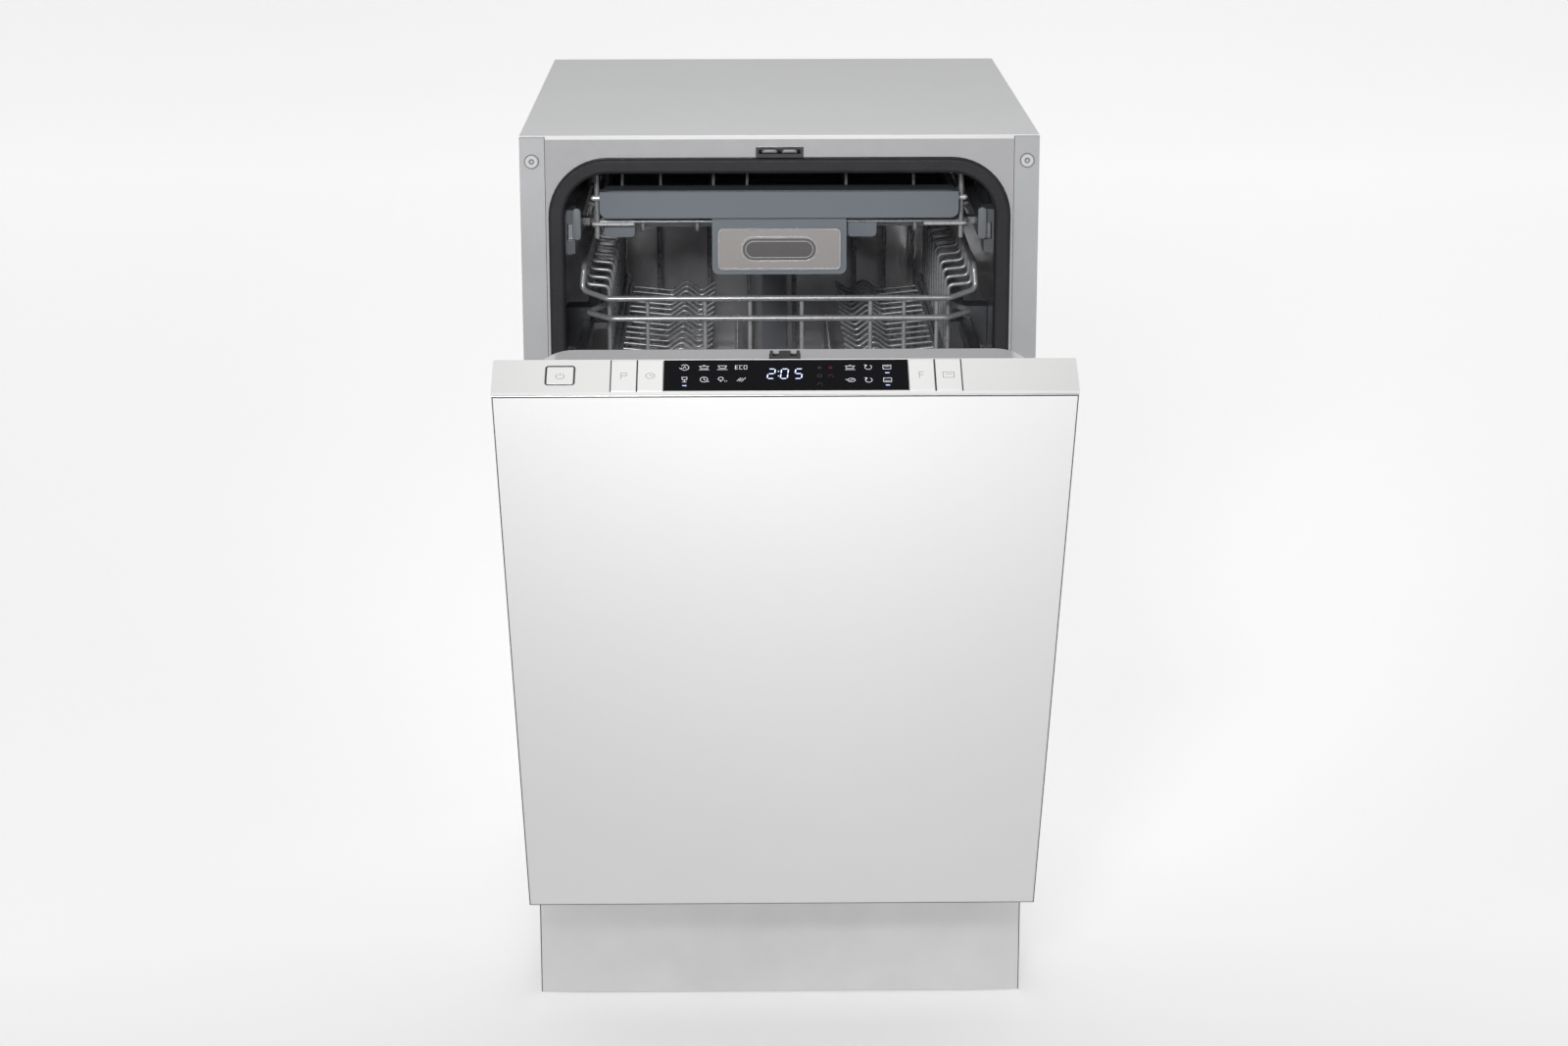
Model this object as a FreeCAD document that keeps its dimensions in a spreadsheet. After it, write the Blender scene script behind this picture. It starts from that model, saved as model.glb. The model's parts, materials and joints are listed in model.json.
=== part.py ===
import FreeCAD, Part
import math
import os
import types

import Sketcher

# Built-in dishwasher, 45 cm wide, with the controls on the top edge of its door.
# +X is to the right, +Y goes into the machine, +Z is up, in millimetres.
# Every piece is drawn with y = 0 at the front plane of the tub and then moved by
# front_plane, which puts the origin under the middle of the machine with its door ajar.
# The door's pieces are drawn shut and are then turned about the hinge to door_angle.

DRIVING_SIZES = {
    "cabinet_width": 448,
    "cabinet_depth": 550,
    "cabinet_height": 815,
    "front_plane": -86,
    "sheet_steel": 1,
    "hinge_y": 20,
    "hinge_z": 110,
    "hinge_pin_radius": 4,
    "door_angle": 28.17,
    "door_width": 446,
    "door_front": 64,
    "door_top": 795,
    "decor_thickness": 17.7,
    "decor_bottom": 197,
    "console_depth": 38,
    "skin_front": 46,
    "skin_bottom": 177,
    "liner_face": 6,
    "liner_flange": 26,
    "plug_half_width": 197,
    "plug_top": 788,
    "plug_bottom": 129,
    "opening_half_width": 200,
    "opening_top": 796,
    "opening_bottom": 124,
    "opening_corner": 52,
    "tub_depth": 520,
    "gasket_band": 13.5,
    "gasket_front": 5.3,
    "trim_width": 21.5,
    "trim_screw_x": 213.5,
    "trim_screw_z": 792.7,
    "base_front": 62,
    "base_bottom": 20,
    "base_top": 100,
    "plinth_recess": 50,
    "foot_x": 185,
    "foot_front_y": 90,
    "foot_rear_y": 515,
    "foot_radius": 18,
    "stud_radius": 5,
    "sump_y": 230,
    "sump_radius": 62,
    "spray_y": 270,
    "filter_y": 205,
    "filter_radius": 32,
    "salt_x": 125,
    "salt_y": 400,
    "ledge_top": 140,
    "rack_front": 50,
    "rack_rear": 480,
    "upper_rim": 690,
    "upper_rim_half_width": 173,
    "upper_side_half_width": 152,
    "upper_floor": 505,
    "lower_rim": 325,
    "lower_half_width": 174,
    "lower_floor": 178,
    "tray_half_width": 166,
    "tray_floor": 726,
    "tray_rim": 747,
    "handle_top": 761,
    "slide_half_width": 184,
    "inlet_x": 140,
    "drain_x": 72,
    "spigot_z": 60,
    "inlet_radius": 13.2,
    "drain_radius": 9.5,
}

doc = FreeCAD.newDocument("built_in_dishwasher")
sheet = doc.addObject("Spreadsheet::Sheet", "sizes")
for line, (alias, number) in enumerate(DRIVING_SIZES.items(), start=1):
    sheet.set(f"A{line}", alias)
    sheet.set(f"B{line}", str(number))
    sheet.setAlias(f"B{line}", alias)
doc.recompute()


class Size:
    """A dimension: its value in millimetres and the rule that ties it to the sheet."""

    def __init__(self, value, rule):
        self.value = float(value)
        self.rule = rule

    def __float__(self):
        return self.value

    def __add__(self, other):
        return Size(self.value + float(other), f"({self.rule} + {rule_of(other)})")

    def __radd__(self, other):
        return self + other

    def __neg__(self):
        return Size(-self.value, f"(0 - {self.rule})")

    def __sub__(self, other):
        return Size(self.value - float(other), f"({self.rule} - {rule_of(other)})")

    def __rsub__(self, other):
        return -self + other

    def __mul__(self, other):
        return Size(self.value * float(other), f"({self.rule} * {rule_of(other)})")

    def __rmul__(self, other):
        return self * other

    def __truediv__(self, other):
        return Size(self.value / float(other), f"({self.rule} / {rule_of(other)})")


def rule_of(value):
    return value.rule if isinstance(value, Size) else f"({float(value)})"


# every driving size by name, such as size.cabinet_width
size = types.SimpleNamespace(
    **{alias: Size(sheet.get(alias), f"sizes.{alias}") for alias in DRIVING_SIZES}
)
half_width = size.cabinet_width / 2
door_half = size.door_width / 2
SIDES = {"left": -1, "right": 1}

CABINET_FRAME = "placement(vector(0; sizes.front_plane; 0); rotation(vector(1; 0; 0); 0))"
DOOR_FRAME = (
    "placement(vector(0; sizes.front_plane; 0); rotation(vector(1; 0; 0); sizes.door_angle);"
    " vector(0; sizes.hinge_y; sizes.hinge_z))"
)
sub_parts = []


def sub_part(label, item, frame=CABINET_FRAME):
    """Name a finished piece and stand it in the machine or on the door."""
    item.Label = label
    item.setExpression("Placement", frame)
    sub_parts.append(item)
    return item


# ---------------------------------------------------------------- primitives


def bind(item, **values):
    for name, value in values.items():
        if isinstance(value, Size):
            item.setExpression(name, value.rule)
        else:
            setattr(item, name, float(value))


def stand(item, corner, axis=(0, 0, 1), angle=0):
    x, y, z = (rule_of(value) for value in corner)
    turn = f"rotation(vector({axis[0]}; {axis[1]}; {axis[2]}); {angle})"
    item.setExpression("Placement", f"placement(vector({x}; {y}; {z}); {turn})")


def box(x, y, z):
    """A block between two values along each axis."""
    item = doc.addObject("Part::Box", "block")
    bind(item, Length=x[1] - x[0], Width=y[1] - y[0], Height=z[1] - z[0])
    stand(item, (x[0], y[0], z[0]))
    return item


TURNS = {"x": ((0, 1, 0), 90), "y": ((1, 0, 0), -90), "z": ((0, 0, 1), 0)}


def rod(direction, start, length, radius):
    """A cylinder from its start point along x, y or z."""
    item = doc.addObject("Part::Cylinder", "rod")
    bind(item, Radius=radius, Height=length)
    stand(item, start, *TURNS[direction])
    return item


def cut(base, *tools):
    for tool in tools:
        item = doc.addObject("Part::Cut", "cut")
        item.Base = base
        item.Tool = tool
        base = item
    return base


def fuse(*items):
    item = doc.addObject("Part::MultiFuse", "fusion")
    item.Shapes = list(items)
    return item


def group(*items):
    """Separate solids kept side by side in one piece."""
    item = doc.addObject("Part::Compound", "group")
    item.Links = list(items)
    return item


def mirrored(side, low, high):
    """The span of a piece on the right side, or its mirror image on the left."""
    return (low, high) if side > 0 else (-high, -low)


# ---------------------------------------------------------------- sketched bodies


def new_body():
    return doc.addObject("PartDesign::Body", "body")


def sketch(body, plane, offset):
    """A sketch on one of the body's own origin planes, moved to an offset in that plane's axes."""
    item = body.newObject("Sketcher::SketchObject", "sketch")
    role = plane + "_Plane"
    support = next(f for f in body.Origin.OriginFeatures if f.Role == role)
    item.AttachmentSupport = [(support, "")]
    item.MapMode = "FlatFace"
    for name, value in zip("xyz", offset):
        item.setExpression(f"AttachmentOffset.Base.{name}", rule_of(value))
    return item


def dimension(item, kind, *where_and_value):
    *where, value = where_and_value
    number = item.addConstraint(Sketcher.Constraint(kind, *where, float(value)))
    item.setExpression(f"Constraints[{number}]", rule_of(value))


def loop(points):
    """A closed outline through corner points, each one dimensioned from the origin."""

    def draw(item):
        first = item.GeometryCount
        corners = [FreeCAD.Vector(float(x), float(y), 0) for x, y in points]
        count = len(corners)
        for i in range(count):
            item.addGeometry(Part.LineSegment(corners[i], corners[(i + 1) % count]))
        for i in range(count):
            following = first + (i + 1) % count
            item.addConstraint(Sketcher.Constraint("Coincident", first + i, 2, following, 1))
        for i, (x, y) in enumerate(points):
            dimension(item, "DistanceX", -1, 1, first + i, 1, x)
            dimension(item, "DistanceY", -1, 1, first + i, 1, y)

    return draw


def rectangle(x, y):
    return loop([(x[0], y[0]), (x[1], y[0]), (x[1], y[1]), (x[0], y[1])])


def circle(x, y, radius):
    def draw(item):
        centre = FreeCAD.Vector(float(x), float(y), 0)
        curve = Part.Circle(centre, FreeCAD.Vector(0, 0, 1), float(radius))
        number = item.addGeometry(curve)
        dimension(item, "DistanceX", -1, 1, number, 3, x)
        dimension(item, "DistanceY", -1, 1, number, 3, y)
        dimension(item, "Radius", number, radius)

    return draw


def rounded(x, y, radius):
    """A rectangle with four equal round corners, its sides tangent to them."""

    def draw(item):
        x0, x1, y0, y1, r = (float(v) for v in (*x, *y, radius))
        normal = FreeCAD.Vector(0, 0, 1)
        first = item.GeometryCount
        straights = [
            ((x0 + r, y0), (x1 - r, y0)),
            ((x1, y0 + r), (x1, y1 - r)),
            ((x1 - r, y1), (x0 + r, y1)),
            ((x0, y1 - r), (x0, y0 + r)),
        ]
        centres = [(x1 - r, y0 + r), (x1 - r, y1 - r), (x0 + r, y1 - r), (x0 + r, y0 + r)]
        for start, end in straights:
            line = Part.LineSegment(FreeCAD.Vector(*start, 0), FreeCAD.Vector(*end, 0))
            item.addGeometry(line)
        for i, centre in enumerate(centres):
            whole = Part.Circle(FreeCAD.Vector(*centre, 0), normal, r)
            start = (i - 1) * math.pi / 2
            item.addGeometry(Part.ArcOfCircle(whole, start, start + math.pi / 2))
        for i in range(4):
            kind = "Vertical" if i % 2 else "Horizontal"
            arc = first + 4 + i
            item.addConstraint(Sketcher.Constraint(kind, first + i))
            item.addConstraint(Sketcher.Constraint("Tangent", first + i, 2, arc, 1))
            item.addConstraint(Sketcher.Constraint("Tangent", arc, 2, first + (i + 1) % 4, 1))
        for i in range(1, 4):
            item.addConstraint(Sketcher.Constraint("Equal", first + 4, first + 4 + i))
        dimension(item, "Radius", first + 4, radius)
        dimension(item, "DistanceY", -1, 1, first, 1, y[0])
        dimension(item, "DistanceX", -1, 1, first + 1, 1, x[1])
        dimension(item, "DistanceY", -1, 1, first + 2, 1, y[1])
        dimension(item, "DistanceX", -1, 1, first + 3, 1, x[0])

    return draw


def extrude(kind, body, plane, span, outlines):
    """Extrude outlines along the plane's axis, from the first to the second value of the span."""
    backwards = plane == "XZ"
    depth = -span[0] if backwards else span[0]
    profile = sketch(body, plane, (0, 0, depth))
    for draw in outlines:
        draw(profile)
    feature = body.newObject("PartDesign::" + kind, kind.lower())
    feature.Profile = profile
    bind(feature, Length=span[1] - span[0])
    feature.Reversed = backwards if kind == "Pad" else not backwards
    body.Tip = feature
    return feature


def pad(body, plane, span, *outlines):
    return extrude("Pad", body, plane, span, outlines)


def pocket(body, plane, span, *outlines):
    """Cut outlines out of a body, and make sure that they did meet it."""
    doc.recompute()
    before = body.Shape.Volume
    feature = extrude("Pocket", body, plane, span, outlines)
    doc.recompute()
    if body.Shape.Volume > before - 0.01:
        raise ValueError(f"a pocket of {body.Name} on {plane} removed nothing")
    return feature


def soften(kind, body, amount, chosen):
    """Round or chamfer the edges of a body's last feature that a test chooses."""
    doc.recompute()
    base = body.Tip
    edges = [f"Edge{i}" for i, edge in enumerate(base.Shape.Edges, start=1) if chosen(edge)]
    feature = body.newObject("PartDesign::" + kind, kind.lower())
    feature.Base = (base, edges)
    bind(feature, **{"Radius" if kind == "Fillet" else "Size": amount})
    body.Tip = feature
    return feature


def runs_along(axis):
    """A test for straight edges that are parallel to x, y or z."""
    index = "xyz".index(axis)
    return lambda edge: (
        edge.Curve.TypeId == "Part::GeomLine" and abs(edge.Curve.Direction[index]) > 0.999
    )


def lies_at(axis, value):
    """A test for edges that lie wholly at one value of x, y or z."""
    low, high = axis.upper() + "Min", axis.upper() + "Max"
    level = float(value)
    return lambda edge: (
        abs(getattr(edge.BoundBox, low) - level) < 0.01
        and abs(getattr(edge.BoundBox, high) - level) < 0.01
    )


def turned(axis, centre, points, body=None):
    """A body of revolution from (along, radius) points about a line through its centre."""
    body = body or new_body()
    x, y, z = centre
    plane = "YZ" if axis == "y" else "XZ"
    offset = (y, z, x) if axis == "y" else (x, z, -y)
    outline = [(radius, along) for along, radius in points] if axis == "z" else points
    profile = sketch(body, plane, offset)
    loop(outline)(profile)
    feature = body.newObject("PartDesign::Revolution", "revolution")
    feature.Profile = profile
    feature.ReferenceAxis = (profile, ["V_Axis" if axis == "z" else "H_Axis"])
    feature.Angle = 360
    body.Tip = feature
    return body


# ---------------------------------------------------------------- bent wire


def vector(point):
    return FreeCAD.Vector(*(float(value) for value in point))


def straight_wire(start, end, radius):
    start, end = vector(start), vector(end)
    return Part.makeCylinder(float(radius), (end - start).Length, start, end - start)


def bent_wire(points, radius, bend, closed=False):
    """A wire as separate solids: a rod for each straight run and an elbow for each corner."""
    corners = [vector(point) for point in points]
    count = len(corners)
    solids = []
    starts = {}
    ends = {}
    for i in range(count) if closed else range(1, count - 1):
        corner = corners[i]
        back = (corners[i - 1] - corner).normalize()
        ahead = (corners[(i + 1) % count] - corner).normalize()
        inner = back.getAngle(ahead)
        turn = math.pi - inner
        reach = bend * math.tan(turn / 2)
        ends[i] = corner + back * reach
        starts[i] = corner + ahead * reach
        middle = (back + ahead).normalize()
        centre = corner + middle * (bend / math.sin(inner / 2))
        axis = back.cross(ahead)
        section = Part.Face(Part.Wire(Part.makeCircle(float(radius), ends[i], back)))
        solids.append(section.revolve(centre, -axis, math.degrees(turn)))
    for i in range(count if closed else count - 1):
        following = (i + 1) % count
        start = starts.get(i, corners[i])
        end = ends.get(following, corners[following])
        if (end - start).Length > 0.1:
            solids.append(straight_wire(start, end, radius))
    return solids


def wirework(label, solids):
    """A piece made of bent wires. No primitive or sketched feature fits it."""
    item = doc.addObject("Part::Feature", "wirework")
    item.Shape = Part.makeCompound(solids)
    return sub_part(label, item)


def spaced(first, last, count):
    """Evenly spaced values from the first to the last."""
    first, last = float(first), float(last)
    return [first + (last - first) * i / (count - 1) for i in range(count)]


# ---------------------------------------------------------------- cabinet

base_back = size.cabinet_depth - 4
tray_wall = 3

base_tray = new_body()
pad(
    base_tray,
    "XY",
    (size.base_bottom, size.base_top),
    rectangle((2 - half_width, half_width - 2), (size.base_front, base_back)),
)
pocket(
    base_tray,
    "XY",
    (size.base_bottom + tray_wall, size.base_top + 1),
    rectangle(
        (2 + tray_wall - half_width, half_width - 2 - tray_wall),
        (size.base_front + tray_wall, base_back - tray_wall),
    ),
)
foot_places = {
    "front_left": (-size.foot_x, size.foot_front_y),
    "front_right": (size.foot_x, size.foot_front_y),
    "rear_left": (-size.foot_x, size.foot_rear_y),
    "rear_right": (size.foot_x, size.foot_rear_y),
}
boss_top = size.base_bottom + 40
pad(
    base_tray,
    "XY",
    (size.base_bottom, boss_top),
    *[circle(x, y, size.stud_radius + 7) for x, y in foot_places.values()],
)
pocket(
    base_tray,
    "XY",
    (size.base_bottom - 1, boss_top + 1),
    *[circle(x, y, size.stud_radius + 0.3) for x, y in foot_places.values()],
)
# clearance for the water inlet and the drain in the rear wall
pocket(
    base_tray,
    "XZ",
    (base_back - tray_wall - 1, base_back + 1),
    circle(-size.inlet_x, size.spigot_z, size.inlet_radius + 6),
    circle(-size.drain_x, size.spigot_z, size.drain_radius + 6),
)
sub_part("base_tray", base_tray)

for place, (x, y) in foot_places.items():
    # foot pad, hexagon collar and threaded stud
    foot = turned(
        "z",
        (x, y, 0),
        [
            (0, 0),
            (0, size.foot_radius - 1.5),
            (1.5, size.foot_radius),
            (6, size.foot_radius),
            (9, size.foot_radius - 6),
            (9, size.stud_radius + 3),
            (15, size.stud_radius + 3),
            (15, size.stud_radius),
            (boss_top + 22, size.stud_radius),
            (boss_top + 23, size.stud_radius - 1),
            (boss_top + 23, 0),
        ],
    )
    sub_part(f"foot_{place}", foot)

for side_name, side in SIDES.items():
    outer = side * half_width
    inner = side * (half_width - size.sheet_steel)
    flange_end = side * (half_width - 13)
    back = size.cabinet_depth - 2.5
    panel = new_body()
    pad(
        panel,
        "XY",
        (25, size.cabinet_height - 1.3),
        loop(
            [
                (outer, 1.6),
                (outer, back),
                (flange_end, back),
                (flange_end, back - size.sheet_steel),
                (inner, back - size.sheet_steel),
                (inner, 1.6),
            ]
        ),
    )
    # the notch that leaves the plinth and the base free at the front
    pocket(
        panel,
        "YZ",
        mirrored(side, half_width - 14, half_width + 1),
        rectangle((0, size.plinth_recess + 10.5), (20, size.hinge_z + 2)),
    )
    sub_part(f"side_panel_{side_name}", panel)

cover_under = size.cabinet_height - size.sheet_steel
top_cover = new_body()
pad(
    top_cover,
    "XY",
    (cover_under, size.cabinet_height),
    rectangle((-half_width, half_width), (0, size.cabinet_depth)),
)
pad(
    top_cover,
    "XY",
    (cover_under - 14, cover_under),
    *[
        rectangle(mirrored(side, half_width - 2.3, half_width - 1.3), (3, base_back - 4))
        for side in SIDES.values()
    ],
)
soften("Fillet", top_cover, 0.6, lies_at("z", size.cabinet_height))
sub_part("top_cover", top_cover)

rear_panel = new_body()
pad(
    rear_panel,
    "XZ",
    (size.cabinet_depth - size.sheet_steel, size.cabinet_depth),
    rectangle((0.5 - half_width, half_width - 0.5), (28, size.cabinet_height - 1.5)),
    circle(-size.inlet_x, size.spigot_z, size.inlet_radius + 6),
    circle(-size.drain_x, size.spigot_z, size.drain_radius + 6),
)
sub_part("rear_panel", rear_panel)

plinth_panel = new_body()
plinth_back = size.plinth_recess + 1.5
pad(
    plinth_panel,
    "YZ",
    (-half_width, half_width),
    loop(
        [
            (size.plinth_recess, 2),
            (plinth_back, 2),
            (plinth_back, 96),
            (size.plinth_recess + 10, 96),
            (size.plinth_recess + 10, 97.5),
            (size.plinth_recess, 97.5),
        ]
    ),
)
sub_part("plinth_panel", plinth_panel)

trim_inner = half_width - size.trim_width
trim_top = size.cabinet_height - 1.4
trims = []
screws = []
for side in SIDES.values():
    front = box(
        mirrored(side, trim_inner, half_width),
        (0, 1.2),
        (size.opening_bottom + 41, trim_top),
    )
    fold = box(
        mirrored(side, half_width - 4, half_width - 2.8),
        (1.2, 25),
        (size.opening_bottom + 41, trim_top),
    )
    screw_hole = rod("y", (side * size.trim_screw_x, -1, size.trim_screw_z), 4, 3)
    trims.append(cut(fuse(front, fold), screw_hole))
    screws.append(
        turned(
            "y",
            (side * size.trim_screw_x, 0, size.trim_screw_z),
            [
                (-0.8, 0),
                (-0.8, 2),
                (-2, 2.8),
                (-2, 4.8),
                (-1.4, 5.5),
                (0, 5.5),
                (0, 2.2),
                (9, 2.2),
                (10, 1.2),
                (10, 0),
            ],
        )
    )
sub_part("side_trims", group(*trims))
sub_part("trim_screws", group(*screws))

# ---------------------------------------------------------------- tub


def opening(grow):
    """The rounded outline of the tub's mouth, grown outwards or shrunk inwards."""
    return rounded(
        (-size.opening_half_width - grow, size.opening_half_width + grow),
        (size.opening_bottom - grow, size.opening_top + grow),
        size.opening_corner + grow,
    )


steel = size.sheet_steel
flange_half = trim_inner - 0.4
tub = new_body()
pad(
    tub,
    "XZ",
    (0, steel),
    rectangle((-flange_half, flange_half), (size.opening_bottom - 8, size.cabinet_height - 3)),
)
pad(tub, "XZ", (steel, size.tub_depth + steel), opening(steel))
pocket(tub, "XZ", (-1, size.tub_depth), opening(0))
# the two ledges that the lower basket's wheels roll on
pad(
    tub,
    "XZ",
    (14, size.tub_depth - 15),
    *[
        rectangle(mirrored(side, 165, 179), (size.opening_bottom + 3, size.ledge_top))
        for side in SIDES.values()
    ],
)
pocket(
    tub,
    "XY",
    (size.opening_bottom - 2, size.opening_bottom + 2),
    circle(0, size.sump_y, size.sump_radius),
    circle(-size.salt_x, size.salt_y, 29.5),
)
# slot for the latch strike
pocket(
    tub,
    "XZ",
    (-1, 3),
    rectangle((-20.3, 20.3), (size.opening_top + 1.7, size.opening_top + 8.4)),
)
sub_part("tub", tub)

tub_gasket = new_body()
pad(
    tub_gasket,
    "XZ",
    (-size.gasket_front, 12),
    opening(-0.5),
    opening(-size.gasket_band),
)
soften("Fillet", tub_gasket, 3, lies_at("y", -size.gasket_front))
sub_part("tub_gasket", tub_gasket)

strike_z = size.opening_top + 5
strike_case = cut(
    fuse(
        box((-20.5, 20.5), (-1.6, -0.2), (strike_z - 4.6, strike_z + 4)),
        box((-19.8, 19.8), (-0.2, 14), (strike_z - 2.8, strike_z + 2.8)),
    ),
    box((-18, 18), (-3, 12), (strike_z - 1.8, strike_z + 1.8)),
)
catches = [
    box(mirrored(side, 6, 11), (-2.6, 11.9), (strike_z - 0.8, strike_z + 0.8))
    for side in SIDES.values()
]
sub_part("latch_strike", group(strike_case, *catches))

# ---------------------------------------------------------------- water system

floor_under = size.opening_bottom - steel
sump = turned(
    "z",
    (0, size.sump_y, 0),
    [
        (48, 0),
        (48, 50),
        (56, 60),
        (112, 60),
        (112, size.sump_radius + 12),
        (floor_under - 0.3, size.sump_radius + 12),
        (floor_under - 0.3, 57.5),
        (60, 57.5),
        (53, 47),
        (53, 0),
    ],
)
# riser and bearing pin of the lower spray arm
arm_low = 147
pin_radius = 6
riser_top = arm_low - 0.5
pad(sump, "XY", (50, riser_top), circle(0, size.spray_y, 11))
pad(sump, "XY", (riser_top, arm_low + 13), circle(0, size.spray_y, pin_radius))
sub_part("sump", sump)

filter_plate = new_body()
plate_level = size.opening_bottom + 0.2
pad(
    filter_plate,
    "XY",
    (plate_level, plate_level + 1.2),
    circle(0, size.sump_y, size.sump_radius + 18),
    circle(0, size.filter_y, size.filter_radius + 1.5),
    circle(0, size.spray_y, 13),
)
pocket(
    filter_plate,
    "XY",
    (plate_level - 1, plate_level + 2),
    circle(size.sump_radius + 8, size.sump_y, 2.2),
)
perforation = filter_plate.newObject("PartDesign::PolarPattern", "perforation")
perforation.Originals = [filter_plate.Tip]
centre_sketch = sketch(filter_plate, "XY", (0, size.sump_y, 0))
perforation.Axis = (centre_sketch, ["N_Axis"])
perforation.Angle = 360
perforation.Occurrences = 36
filter_plate.Tip = perforation
sub_part("filter_plate", filter_plate)

filter_cylinder = turned(
    "z",
    (0, size.filter_y, 0),
    [
        (66, 0),
        (66, size.filter_radius - 4),
        (plate_level + 1.6, size.filter_radius - 2),
        (plate_level + 1.6, size.filter_radius + 4),
        (plate_level + 5, size.filter_radius + 3),
        (plate_level + 5, size.filter_radius - 5),
        (70, size.filter_radius - 7),
        (70, 0),
    ],
)
pad(
    filter_cylinder,
    "XY",
    (69, plate_level + 14),
    rectangle((5 - size.filter_radius, size.filter_radius - 5), (size.filter_y - 2, size.filter_y + 2)),
)
sub_part("filter_cylinder", filter_cylinder)

circulation_pump = turned(
    "x",
    (0, size.sump_y, 76),
    [
        (61, 0),
        (61, 14),
        (75.5, 14),
        (75.5, 40),
        (79, 43),
        (94, 43),
        (96, 36),
        (166, 36),
        (172, 30),
        (172, 12),
        (180, 12),
        (180, 0),
    ],
)
sub_part("circulation_pump", circulation_pump)

drain_level = size.spigot_z
drain_motor = turned(
    "x",
    (0, size.sump_y - 10, drain_level),
    [(-61, 0), (-61, 9), (-68, 9), (-68, 26), (-84, 26), (-86, 21), (-126, 21), (-130, 17), (-130, 0)],
)
drain_end = size.cabinet_depth - 0.5
# from the pump's housing to the spigot, with a collar in front of the rear wall
drain_pipe = turned(
    "y",
    (-size.drain_x, 0, drain_level),
    [
        (246.5, size.drain_radius - 2),
        (246.5, size.drain_radius),
        (505, size.drain_radius),
        (505, size.drain_radius + 3),
        (528, size.drain_radius + 3),
        (528, size.drain_radius),
        (drain_end, size.drain_radius),
        (drain_end, size.drain_radius - 2),
    ],
)
sub_part("drain_pump", group(drain_motor, drain_pipe))

softener = new_body()
pad(softener, "XY", (26, 110), rectangle((-205, -85), (330, 498)))
soften("Fillet", softener, 12, runs_along("z"))
neck_top = size.opening_bottom + 9
pad(softener, "XY", (110, neck_top), circle(-size.salt_x, size.salt_y, 28.5))
pocket(softener, "XY", (60, neck_top + 1), circle(-size.salt_x, size.salt_y, 25))
sub_part("water_softener", softener)

salt_cap = turned(
    "z",
    (-size.salt_x, size.salt_y, 0),
    [
        (neck_top - 12, 0),
        (neck_top - 12, 24.4),
        (neck_top + 0.3, 24.4),
        (neck_top + 0.3, 33),
        (neck_top + 6, 33),
        (neck_top + 8, 31),
        (neck_top + 8, 0),
    ],
)
pad(
    salt_cap,
    "XY",
    (neck_top + 8, neck_top + 11),
    rectangle((-size.salt_x - 26, -size.salt_x + 26), (size.salt_y - 3, size.salt_y + 3)),
)
sub_part("salt_cap", salt_cap)

counterweight = new_body()
pad(counterweight, "XY", (24, 92), rectangle((95, 212), (340, 490)))
soften("Chamfer", counterweight, 6, runs_along("z"))
sub_part("counterweight", counterweight)

inlet_valve = turned(
    "y",
    (-size.inlet_x, 0, size.spigot_z),
    [
        (504, 8),
        (504, 20),
        (526, 20),
        (526, size.inlet_radius),
        (size.cabinet_depth - 0.5, size.inlet_radius),
        (size.cabinet_depth - 0.5, 8),
    ],
)
pad(
    inlet_valve,
    "XY",
    (size.spigot_z + 15, size.spigot_z + 48),
    rectangle((-size.inlet_x - 12, -size.inlet_x + 12), (505, 525)),
)
sub_part("inlet_valve", inlet_valve)

# duct up the rear wall, along the ceiling and down to the top sprayer
duct_back = size.tub_depth - 4
water_duct = new_body()
pad(
    water_duct,
    "YZ",
    (-12, 12),
    loop(
        [
            (duct_back - 14, size.opening_bottom + 14),
            (duct_back, size.opening_bottom + 14),
            (duct_back, size.opening_top - 3),
            (size.spray_y - 20, size.opening_top - 3),
            (size.spray_y - 20, size.opening_top - 11),
            (duct_back - 14, size.opening_top - 11),
        ]
    ),
)
soften("Fillet", water_duct, 3, runs_along("x"))
pad(
    water_duct,
    "XY",
    (size.opening_top - 22, size.opening_top - 8),
    circle(0, size.spray_y, 40),
)
# socket that feeds the upper basket's spray pipe
pad(
    water_duct,
    "XZ",
    (duct_back - 26, duct_back - 10),
    circle(0, size.upper_floor - 18, 11),
)
sub_part("water_duct", water_duct)


def spray_arm(label, low, bore_top):
    """A rotor blade with a hub that turns on a pin, and a row of jets on each half."""
    arm = new_body()
    pad(
        arm,
        "XY",
        (low, low + 10),
        rounded((-165, 165), (size.spray_y - 20, size.spray_y + 20), 19.5),
    )
    soften("Fillet", arm, 3, lies_at("z", low + 10))
    pad(arm, "XY", (low + 9, low + 17), circle(0, size.spray_y, 17))
    pocket(arm, "XY", (low - 1, bore_top), circle(0, size.spray_y, pin_radius + 0.05))
    jets = [
        circle(side * distance, size.spray_y + 6 * (-1) ** number, 1.6)
        for side in SIDES.values()
        for number, distance in enumerate(spaced(45, 150, 5))
    ]
    pocket(arm, "XY", (low + 6, low + 11), *jets)
    return sub_part(label, arm)


spray_arm("lower_spray_arm", arm_low, arm_low + 14)

# ---------------------------------------------------------------- basket guides

block_half = size.opening_half_width - 0.4
slide_levels = {"basket": size.upper_floor + 92, "tray": size.tray_floor + 3}
slide_half_height = 7


def guide_block(side, y, level):
    """A grey block on the tub wall whose channel guides a basket's slide bar."""
    channel = slide_half_height + 0.4
    return cut(
        box(mirrored(side, size.slide_half_width - 6, block_half), y, (level - 19, level + 19)),
        box(
            mirrored(side, size.slide_half_width - 8, size.slide_half_width + 0.8),
            (y[0] - 1, y[1] + 1),
            (level - channel, level + channel),
        ),
    )


sub_part(
    "guide_blocks",
    group(
        *[
            guide_block(side, (y, y + 28), level)
            for level in slide_levels.values()
            for side in SIDES.values()
            for y in (14, 250)
        ]
    ),
)


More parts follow.
